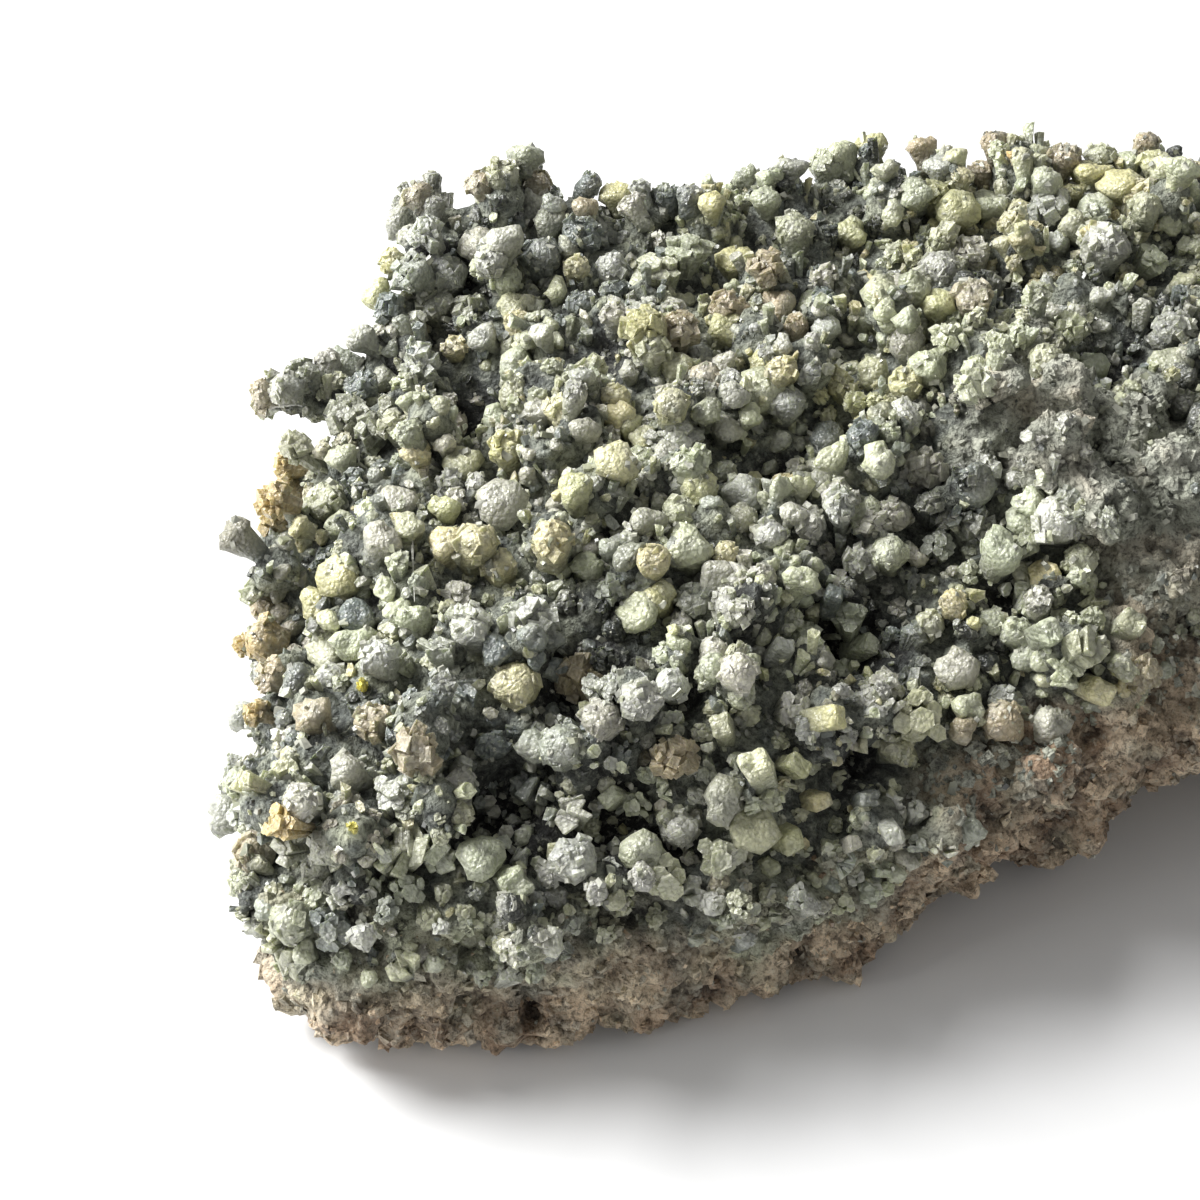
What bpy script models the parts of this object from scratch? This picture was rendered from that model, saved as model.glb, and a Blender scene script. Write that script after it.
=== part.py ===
"""A loose slab of prehnite: fingers, buds, blocks and blades of the mineral on their own brown matrix.

Matrix and crystals grew as one piece, so the crystals are joined to the slab in one solid.
"""

import math
import random

import bmesh
import bpy
from mathutils import Matrix, Vector, noise

MM = 0.001

# The rim where crust and matrix meet, seen from above in millimetres, anticlockwise from the front left.
RIM_POINTS = [
    (-56, -38), (-45, -38), (-32, -38), (-18, -33), (-4, -29), (5, -26), (12, -22), (21, -16),
    (33, -12), (45, -9), (57, -2), (64, 10), (63, 26), (60, 41), (51, 52), (38, 57), (22, 56),
    (8, 57), (-6, 53), (-18, 50), (-29, 48), (-35, 54), (-44, 53), (-48, 46), (-51, 37),
    (-55, 29), (-58, 18), (-60, 8), (-60.5, -6), (-61, -18), (-60.5, -30),
]
HUB = Vector((0.0, 8.0))
PLAN_CENTRE = Vector((1.1, 9.2, 0.0))

# Height of the rim, and of the underside's edge, in each plan direction from the hub in degrees.
RIM_HEIGHTS = [(-160, 18), (-140, 13), (-124, 16), (-95, 15), (-68, 17), (-50, 19), (-10, 21), (25, 24),
               (60, 29), (90, 30), (125, 30), (155, 27), (180, 23), (200, 18)]
EDGE_LIFTS = [(-160, 4), (-138, 2), (-110, 1.5), (-92, 3), (-84, 8), (-74, 12), (-66, 10), (-56, 5),
              (-48, 5), (-38, 10), (-20, 9), (30, 5), (90, 4), (150, 3), (200, 4)]
CROWN_HEIGHT = 34.0
CROWN_REACH = 15.0

# Swells and hollows of the crust, each with its place, its reach and its rise.
SWELLS = [
    (-42, 50, 9, 4.5), (-45, 39, 5, -3), (-43, 26, 6, -6), (-32, 53, 5, -6), (-22, 27, 7, 2.5),
    (11, 13, 7, 4), (20, 10, 6, 3.5), (29, 6, 7, 4), (16, 25, 6, 3), (5, 22, 5, 2.5),
    (10, 3, 4, -2.5), (-1.5, -5, 6, -6), (-28, -11, 5, -4), (2.5, -15, 4, 3), (-37, -22, 6, -8),
    (-26, -25, 3.5, -5), (-20, -25, 3, -4), (-48, -27, 8, 3), (-12, -22, 6, 2), (20, -9, 5, 2),
    (-56, 4, 8, 2), (40, 22, 12, 3), (30, 48, 14, 4), (50, 8, 9, -3), (6, 38, 8, -2.5), (-12, 8, 6, -3),
]

# The side wall, as the share of the rim's radius at each share of the way down, and the part of that share
# which is left at the very bottom in each plan direction.
WALL = [(0.0, 1.0), (0.2, 1.02), (0.45, 0.985), (0.72, 1.01), (1.0, 1.0)]
TUCKS = [(-160, 0.92), (-142, 0.93), (-128, 0.985), (-98, 0.98), (-86, 0.93), (-30, 0.90), (90, 0.93), (200, 0.92)]
SLAB_CUTS = (13, 10, 3)
ROUGH_SCALE = 7.0
ROUGH_TOP = 1.2
ROUGH_WALL = 3.0
LOWEST_WALL = 1.5

# The underside's bumps leave flat feet where they reach the surface that the slab rests on.
UNDER_SCALE = 17.0
UNDER_BUMP = 3.2
UNDER_SINK = 0.5
FOOT_REACH = 15.0
FOOT_SINK = 3.0

# What grows at random, for each place: tries, least and greatest radius, least and greatest rise out
# of the slab, and the least distance between two neighbours as a share of their radii together.
SEED = 4311
CRUST = (5000, (2.4, 4.1), (2.2, 4.8), 1.0)
WALL_CRYSTALS = (300, (2.2, 3.4), (1.4, 2.8), 1.3)
MATRIX_LUMPS = (400, (3.4, 5.2), (0.0, 0.8), 1.3)
UNDER_LUMPS = (200, (4.0, 6.5), (0.4, 1.6), 1.2)
BARE_FRONT = (-132, -15)
ROOT = 3.4
NORMAL_SHARE = 0.55
LEAN = 0.4

# Crystals that stand out, as foot, direction, radius, length out of the crust and kind.
LANDMARKS = [
    ((-54, 28, 25), (-1.0, -0.1, 0.25), 2.8, 9.0, "finger"),
    ((-35, 53, 31), (-0.25, 0.2, 1.0), 2.7, 5.0, "finger"),
    ((-47, 52, 31), (-0.5, 0.3, 0.7), 2.4, 4.5, "bud"),
    ((2, -16, 20), (-0.1, -0.5, 1.0), 3.4, 4.0, "bud"),
    ((8, -17, 20), (0.1, -0.6, 1.0), 2.4, 4.2, "block"),
    ((20, -11, 21), (0.5, -0.7, 0.7), 2.3, 5.5, "block"),
    ((-9, -23, 19), (0.3, -0.8, 0.6), 2.2, 4.5, "block"),
    ((-7, -26, 17), (0.4, -0.9, 0.4), 2.1, 4.0, "block"),
    ((-11, -29, 15), (0.2, -1.0, 0.4), 2.1, 4.5, "block"),
    ((-21, -20, 21), (0.1, -0.5, 0.8), 3.0, 4.5, "bud"),
    ((-29, -16, 25), (0.0, -0.3, 1.0), 3.0, 3.5, "bud"),
    ((-37, -14, 25), (-0.1, -0.3, 1.0), 2.9, 3.5, "bud"),
    ((-41, 0, 30), (-0.1, -0.1, 1.0), 3.2, 3.6, "bud"),
    ((-22, 27, 34), (0.0, -0.1, 1.0), 3.4, 4.2, "bud"),
    ((-62, 12, 20), (-1.0, -0.2, 0.3), 2.3, 2.8, "bud"),
    ((-61, -3, 19), (-1.0, -0.3, 0.4), 2.6, 3.4, "bud"),
]

COLOUR = (0.23, 0.25, 0.19, 1.0)
GLOSS_ROUGHNESS = 0.45


def between(low, high, share):
    return low + (high - low) * share


def smooth_step(x):
    x = min(1.0, max(0.0, x))
    return x * x * (3 - 2 * x)


def read_table(table, x):
    """The value at x of a table of (x, value) rows, joined by straight lines."""
    for (x0, v0), (x1, v1) in zip(table, table[1:]):
        if x <= x1:
            return between(v0, v1, max(0.0, (x - x0) / (x1 - x0)))
    return table[-1][1]


def rim_table(steps=5):
    """The rim as (direction, radius) rows round the hub, along a smooth curve through its points."""
    rows = []
    count = len(RIM_POINTS)
    for i in range(count):
        p0, p1, p2, p3 = (Vector(RIM_POINTS[(i + k) % count]) for k in range(-1, 3))
        for t in (step / steps for step in range(steps)):
            bend = (2 * p0 - 5 * p1 + 4 * p2 - p3) * t**2 + (3 * p1 - p0 - 3 * p2 + p3) * t**3
            out = p1 + 0.5 * ((p2 - p0) * t + bend) - HUB
            rows.append((math.atan2(out.y, out.x), out.length))
    rows.sort()
    turn = 2 * math.pi
    return [(rows[-1][0] - turn, rows[-1][1])] + rows + [(rows[0][0] + turn, rows[0][1])]


RIM = rim_table()


def by_direction(table, angle):
    """The value in a plan direction, of a table whose rows run a full turn from its first row's degrees."""
    start = table[0][0]
    return read_table(table, (math.degrees(angle) - start) % 360 + start)


def crust_height(x, y):
    """Height of the crust's floor, between its crystals."""
    out = Vector((x, y)) - HUB
    angle = math.atan2(out.y, out.x)
    inside = max(0.0, read_table(RIM, angle) - out.length)
    edge = between(CROWN_HEIGHT, by_direction(RIM_HEIGHTS, angle), smooth_step(out.length / 12))
    height = between(edge, CROWN_HEIGHT, 1 - math.exp(-inside / CROWN_REACH))
    for swell_x, swell_y, reach, rise in SWELLS:
        height += rise * math.exp(-((x - swell_x) ** 2 + (y - swell_y) ** 2) / reach**2)
    return height


def crust_normal(x, y, step=1.5):
    slope_x = crust_height(x + step, y) - crust_height(x - step, y)
    slope_y = crust_height(x, y + step) - crust_height(x, y - step)
    return Vector((-slope_x, -slope_y, 2 * step)).normalized()


def slab_point(cube_point):
    """Where a point of a cube that runs from -1 to 1 goes on the smooth slab."""
    a, b, c = cube_point
    reach = max(abs(a), abs(b))
    angle = math.atan2(b, a)
    down = (1 - c) / 2
    share = reach * read_table(WALL, down if reach > 0.999 else round(down))
    share *= between(1.0, by_direction(TUCKS, angle), smooth_step((down - 0.6) / 0.4))
    radius = read_table(RIM, angle) * share
    x = HUB.x + math.cos(angle) * radius
    y = HUB.y + math.sin(angle) * radius
    if down < 0.001:
        return Vector((x, y, crust_height(x, y)))
    lift = by_direction(EDGE_LIFTS, angle) * smooth_step((reach - 0.6) / 0.4)
    return Vector((x, y, between(by_direction(RIM_HEIGHTS, angle), lift, down)))


def roughen(point, down):
    """Moves a point of the slab, so that it has lumps, ledges and pits and rests on flat feet."""
    shift = noise.noise_vector(point / ROUGH_SCALE)
    moved = point + shift * between(ROUGH_TOP, ROUGH_WALL, smooth_step(down * 2))
    if down > 0.999:
        bump = UNDER_BUMP * noise.noise(point / UNDER_SCALE) - UNDER_SINK
        foot = FOOT_SINK * math.exp(-(point.xy - PLAN_CENTRE.xy).length_squared / FOOT_REACH**2)
        return Vector((moved.x, moved.y, max(point.z + bump - foot, 0.0)))
    moved.z = max(moved.z, LOWEST_WALL)
    return moved


def link(bm, name, collection):
    """Turns a bmesh in the design's millimetres into an object in metres, centred in plan."""
    bmesh.ops.translate(bm, verts=bm.verts, vec=-PLAN_CENTRE)
    bmesh.ops.scale(bm, verts=bm.verts, vec=(MM, MM, MM))
    mesh = bpy.data.meshes.new(name)
    bm.to_mesh(mesh)
    bm.free()
    obj = bpy.data.objects.new(name, mesh)
    collection.objects.link(obj)
    return obj


def make_slab(collection):
    """The slab without its crystals, from a cube cut into a grid and pressed into shape."""
    bm = bmesh.new()
    bmesh.ops.create_cube(bm, size=2)
    for axis, cuts in enumerate(SLAB_CUTS):
        along = [e for e in bm.edges if abs(e.verts[0].co[axis] - e.verts[1].co[axis]) > 0.01]
        bmesh.ops.subdivide_edges(bm, edges=along, cuts=cuts, use_grid_fill=True)
    for v in bm.verts:
        v.co = roughen(slab_point(v.co), (1 - v.co.z) / 2)
    bmesh.ops.triangulate(bm, faces=bm.faces, quad_method="SHORT_EDGE")
    return link(bm, "prehnite_specimen", collection)


def grow_finger(bm, radius, length, rng):
    """A column that flares towards a blunt, rounded head."""
    bmesh.ops.create_cone(bm, cap_ends=True, segments=rng.choice((5, 6)), radius1=radius * 0.7,
                          radius2=radius, depth=length)
    head = max(bm.faces, key=lambda f: f.calc_center_median().z)
    bmesh.ops.inset_region(bm, faces=[head], thickness=radius * 0.42, depth=radius * 0.5)


def grow_bud(bm, radius, length, rng):
    """A rounded knob."""
    bmesh.ops.create_icosphere(bm, subdivisions=1, radius=radius * 1.12)
    bmesh.ops.scale(bm, verts=bm.verts, vec=(1, rng.uniform(0.85, 1), length / radius / 2))


def grow_block(bm, radius, length, rng):
    """A single crystal with flat faces."""
    bmesh.ops.create_cube(bm, size=1)
    bmesh.ops.scale(bm, verts=bm.verts, vec=(radius * 1.6, radius * rng.uniform(1.2, 1.6), length))


def grow_blade(bm, radius, length, rng):
    """A thick plate on edge."""
    bmesh.ops.create_cube(bm, size=1)
    bmesh.ops.scale(bm, verts=bm.verts, vec=(radius * rng.uniform(1.8, 2.6), radius * 0.7, length))


def grow_lump(bm, radius, length, rng):
    """A low, broken lump of matrix."""
    bmesh.ops.create_icosphere(bm, subdivisions=1, radius=radius)
    for v in bm.verts:
        v.co *= rng.uniform(0.85, 1.15)
    bmesh.ops.scale(bm, verts=bm.verts, vec=(1, rng.uniform(0.6, 1), length / radius / 2))


GROW = {"finger": grow_finger, "bud": grow_bud, "block": grow_block, "blade": grow_blade, "lump": grow_lump}
CRYSTALS = ["finger"] * 8 + ["bud"] * 10 + ["block"] * 4 + ["blade"] * 1


def grow(foot, direction, radius, rise, kind, rng, collection):
    """One crystal, rooted below the surface at its foot, unless it would reach under the slab."""
    bm = bmesh.new()
    length = rise + ROOT
    GROW[kind](bm, radius, length, rng)
    turn = Vector(direction).to_track_quat("Z", "Y").to_matrix().to_4x4()
    place = Matrix.Translation(foot) @ turn @ Matrix.Rotation(rng.uniform(0, math.tau), 4, "Z")
    bmesh.ops.transform(bm, verts=bm.verts, matrix=place @ Matrix.Translation((0, 0, length / 2 - ROOT)))
    if min(v.co.z for v in bm.verts) < 0.5:
        bm.free()
        return
    crystal = link(bm, kind, collection)
    crystal.hide_render = True
    crystal.display_type = "WIRE"


def scatter(layer, place_at, taken, rng):
    """Feet, directions, radii and rises from random tries, each clear of the feet already taken."""
    tries, radii, rises, packing = layer
    for _ in range(tries):
        place = place_at(rng)
        radius = rng.uniform(*radii)
        if place is None:
            continue
        foot, direction = place
        if all((foot - other).length > (radius + other_radius) * packing for other, other_radius in taken):
            taken.append((foot, radius))
            yield foot, direction, radius, rng.uniform(*rises)


def crust_place(rng):
    """A random foot on the crust, and the way that a crystal leans there."""
    x, y = rng.uniform(-64, 66), rng.uniform(-40, 60)
    out = Vector((x, y)) - HUB
    if out.length > read_table(RIM, math.atan2(out.y, out.x)) - 0.4:
        return None
    lean = Vector((rng.uniform(-LEAN, LEAN), rng.uniform(-LEAN, LEAN), 0))
    direction = Vector((0, 0, 1 - NORMAL_SHARE)) + crust_normal(x, y) * NORMAL_SHARE + lean
    return Vector((x, y, crust_height(x, y))), direction


def wall_place(rng, top, bottom):
    """A random foot on the side wall between two shares of the way down, facing outwards."""
    angle = rng.uniform(-math.pi, math.pi)
    c, s = math.cos(angle), math.sin(angle)
    on_cube = max(abs(c), abs(s))
    foot = slab_point(Vector((c / on_cube, s / on_cube, 1 - 2 * rng.uniform(top, bottom))))
    return foot, Vector((c, s, rng.uniform(-0.2, 0.6)))


def wall_crystal_place(rng):
    """A place on the upper wall, which has crystals everywhere but on the broken front."""
    foot, direction = wall_place(rng, 0.1, 0.6)
    bare = BARE_FRONT[0] < math.degrees(math.atan2(direction.y, direction.x)) < BARE_FRONT[1]
    return None if bare else (foot, direction)


def wall_lump_place(rng):
    return wall_place(rng, 0.12, 0.95)


def under_place(rng):
    """A random foot on the underside, facing down."""
    foot = slab_point(Vector((rng.uniform(-0.9, 0.9), rng.uniform(-0.9, 0.9), -1)))
    return roughen(foot, 1), Vector((rng.uniform(-0.3, 0.3), rng.uniform(-0.3, 0.3), -1))


def make_crystals(collection):
    """Every crystal and every lump of matrix, each its own closed shape."""
    rng = random.Random(SEED)
    taken = []
    for foot, direction, radius, rise, kind in LANDMARKS:
        taken.append((Vector(foot), radius))
        grow(foot, direction, radius, rise, kind, rng, collection)
    for layer, place_at, kinds in (
        (CRUST, crust_place, CRYSTALS),
        (WALL_CRYSTALS, wall_crystal_place, CRYSTALS),
        (MATRIX_LUMPS, wall_lump_place, ["lump"]),
        (UNDER_LUMPS, under_place, ["lump"]),
    ):
        for foot, direction, radius, rise in scatter(layer, place_at, taken, rng):
            grow(foot, direction, radius, rise, rng.choice(kinds), rng, collection)


def make_material():
    """Grey-green, slightly glossy stone."""
    material = bpy.data.materials.new("prehnite")
    material.use_nodes = True
    shader = material.node_tree.nodes["Principled BSDF"]
    shader.inputs["Base Color"].default_value = COLOUR
    shader.inputs["Roughness"].default_value = GLOSS_ROUGHNESS
    shader.inputs["Metallic"].default_value = 0.0
    return material


def join_crystals(slab, crystals):
    union = slab.modifiers.new("Crystals", "BOOLEAN")
    union.operation = "UNION"
    union.operand_type = "COLLECTION"
    union.collection = crystals
    union.solver = "EXACT"


def main():
    for obj in list(bpy.data.objects):
        bpy.data.objects.remove(obj)
    parts = bpy.data.collections.new("prehnite")
    crystals = bpy.data.collections.new("crystals")
    bpy.context.scene.collection.children.link(parts)
    bpy.context.scene.collection.children.link(crystals)
    slab = make_slab(parts)
    slab.data.materials.append(make_material())
    make_crystals(crystals)
    join_crystals(slab, crystals)


main()
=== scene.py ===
"""The looks of a loose prehnite specimen: rough brown matrix under a crust of waxy green fingers,
drusy knobs, sheaves, blocky crystals and sugary grains. Laid out as an add-on and run as a script."""

import math
import random

import bmesh
import bpy
import numpy as np
from bpy.props import FloatProperty, FloatVectorProperty, IntProperty, PointerProperty
from mathutils import Matrix, Vector, noise
from mathutils.bvhtree import BVHTree
from mathutils.kdtree import KDTree


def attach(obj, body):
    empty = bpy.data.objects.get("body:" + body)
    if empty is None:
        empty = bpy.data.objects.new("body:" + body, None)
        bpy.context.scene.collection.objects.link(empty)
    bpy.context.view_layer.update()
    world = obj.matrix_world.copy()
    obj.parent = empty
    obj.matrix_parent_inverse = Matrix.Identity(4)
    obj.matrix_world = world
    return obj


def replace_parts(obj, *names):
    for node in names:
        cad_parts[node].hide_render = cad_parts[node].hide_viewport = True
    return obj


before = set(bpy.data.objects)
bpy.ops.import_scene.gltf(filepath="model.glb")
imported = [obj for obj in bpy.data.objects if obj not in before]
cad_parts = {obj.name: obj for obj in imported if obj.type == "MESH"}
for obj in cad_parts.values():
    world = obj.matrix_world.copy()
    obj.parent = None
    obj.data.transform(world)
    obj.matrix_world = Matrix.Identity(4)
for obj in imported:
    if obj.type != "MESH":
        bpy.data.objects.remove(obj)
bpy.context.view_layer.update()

bl_info = {
    "name": "Prehnite specimen",
    "version": (1, 0, 0),
    "blender": (4, 5, 0),
    "location": "View3D > Sidebar > Prehnite",
    "description": "Grows a crust of prehnite crystals on a slab of brown matrix",
    "category": "Object",
}

NODE = "prehnite_specimen"
BODY = "root"
MM = 0.001

# Colours of the mineral, its dirt and its painted shade, as sRGB from 0 to 1.
CREAM = (0.83, 0.80, 0.63)
PALE_GREEN = (0.74, 0.75, 0.63)
YELLOW_GREEN = (0.77, 0.76, 0.58)
SAGE = (0.69, 0.70, 0.60)
GREY_GREEN = (0.62, 0.63, 0.57)
ASH = (0.70, 0.70, 0.65)
SLATE = (0.44, 0.46, 0.44)
CHARCOAL = (0.22, 0.23, 0.21)
FROST = (0.78, 0.78, 0.72)
TAN = (0.68, 0.63, 0.52)
OCHRE = (0.74, 0.64, 0.43)
LEMON = (0.80, 0.76, 0.30)
BROWN = (0.90, 0.81, 0.69)
EARTH = (0.64, 0.54, 0.44)
# BLACK is painted shade: it darkens the slab's pits, hollows and low relief.
BLACK = (0.10, 0.09, 0.09)

# Where the crust's colour changes: plan place and reach in millimetres, and how pale, warm and dark it is
# there. The dark patches at the left edge and at the back left are partly painted shade, and the pale ones
# at the back right partly painted light, set to even out how the lamps fall.
PATCHES = [
    (-41, -9, 8, 0.8, 0.5, 0.0), (-35, -4, 8, 0.9, 0.4, 0.0), (-32, 8, 9, 0.7, 0.1, 0.0),
    (-22, 17, 8, 0.9, 0.1, 0.0), (-14, 2, 9, 0.8, 0.0, 0.0), (-10, 12, 8, 0.6, 0.3, 0.0),
    (4, 12, 6, 0.9, 0.0, 0.0), (-2, 32, 7, 0.8, 0.3, 0.0), (16, 32, 7, 0.8, 0.3, 0.0),
    (30, 42, 14, 1.0, 0.7, 0.0), (48, 34, 14, 0.9, 0.5, 0.0), (-55, 0, 7, 0.4, 0.7, 0.2),
    (-40, 38, 12, 0.0, 0.1, 1.0), (-44, 22, 8, 0.0, 0.0, 1.0), (-30, 32, 8, 0.0, 0.0, 0.8),
    (20, 0, 10, 0.2, 0.2, 0.3), (-2, -16, 6, 0.0, 0.0, 0.9), (-38, -30, 8, 0.1, 0.0, 0.6),
    (12, 20, 8, 0.2, 0.0, 0.4), (-45, -16, 9, 0.3, 0.0, 0.3), (18, -20, 8, 0.7, 0.2, 0.0),
    # The patches at x -60 below are painted shade on the left edge, where the key light falls strongest.
    (2, -25, 5, 0.9, 0.1, 0.0), (-9, -34, 7, 0.8, 0.3, 0.0), (-60, -28, 10, 0.2, 0.1, 0.6),
    (-60, -10, 8, 0.1, 0.4, 0.7),
]

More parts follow.
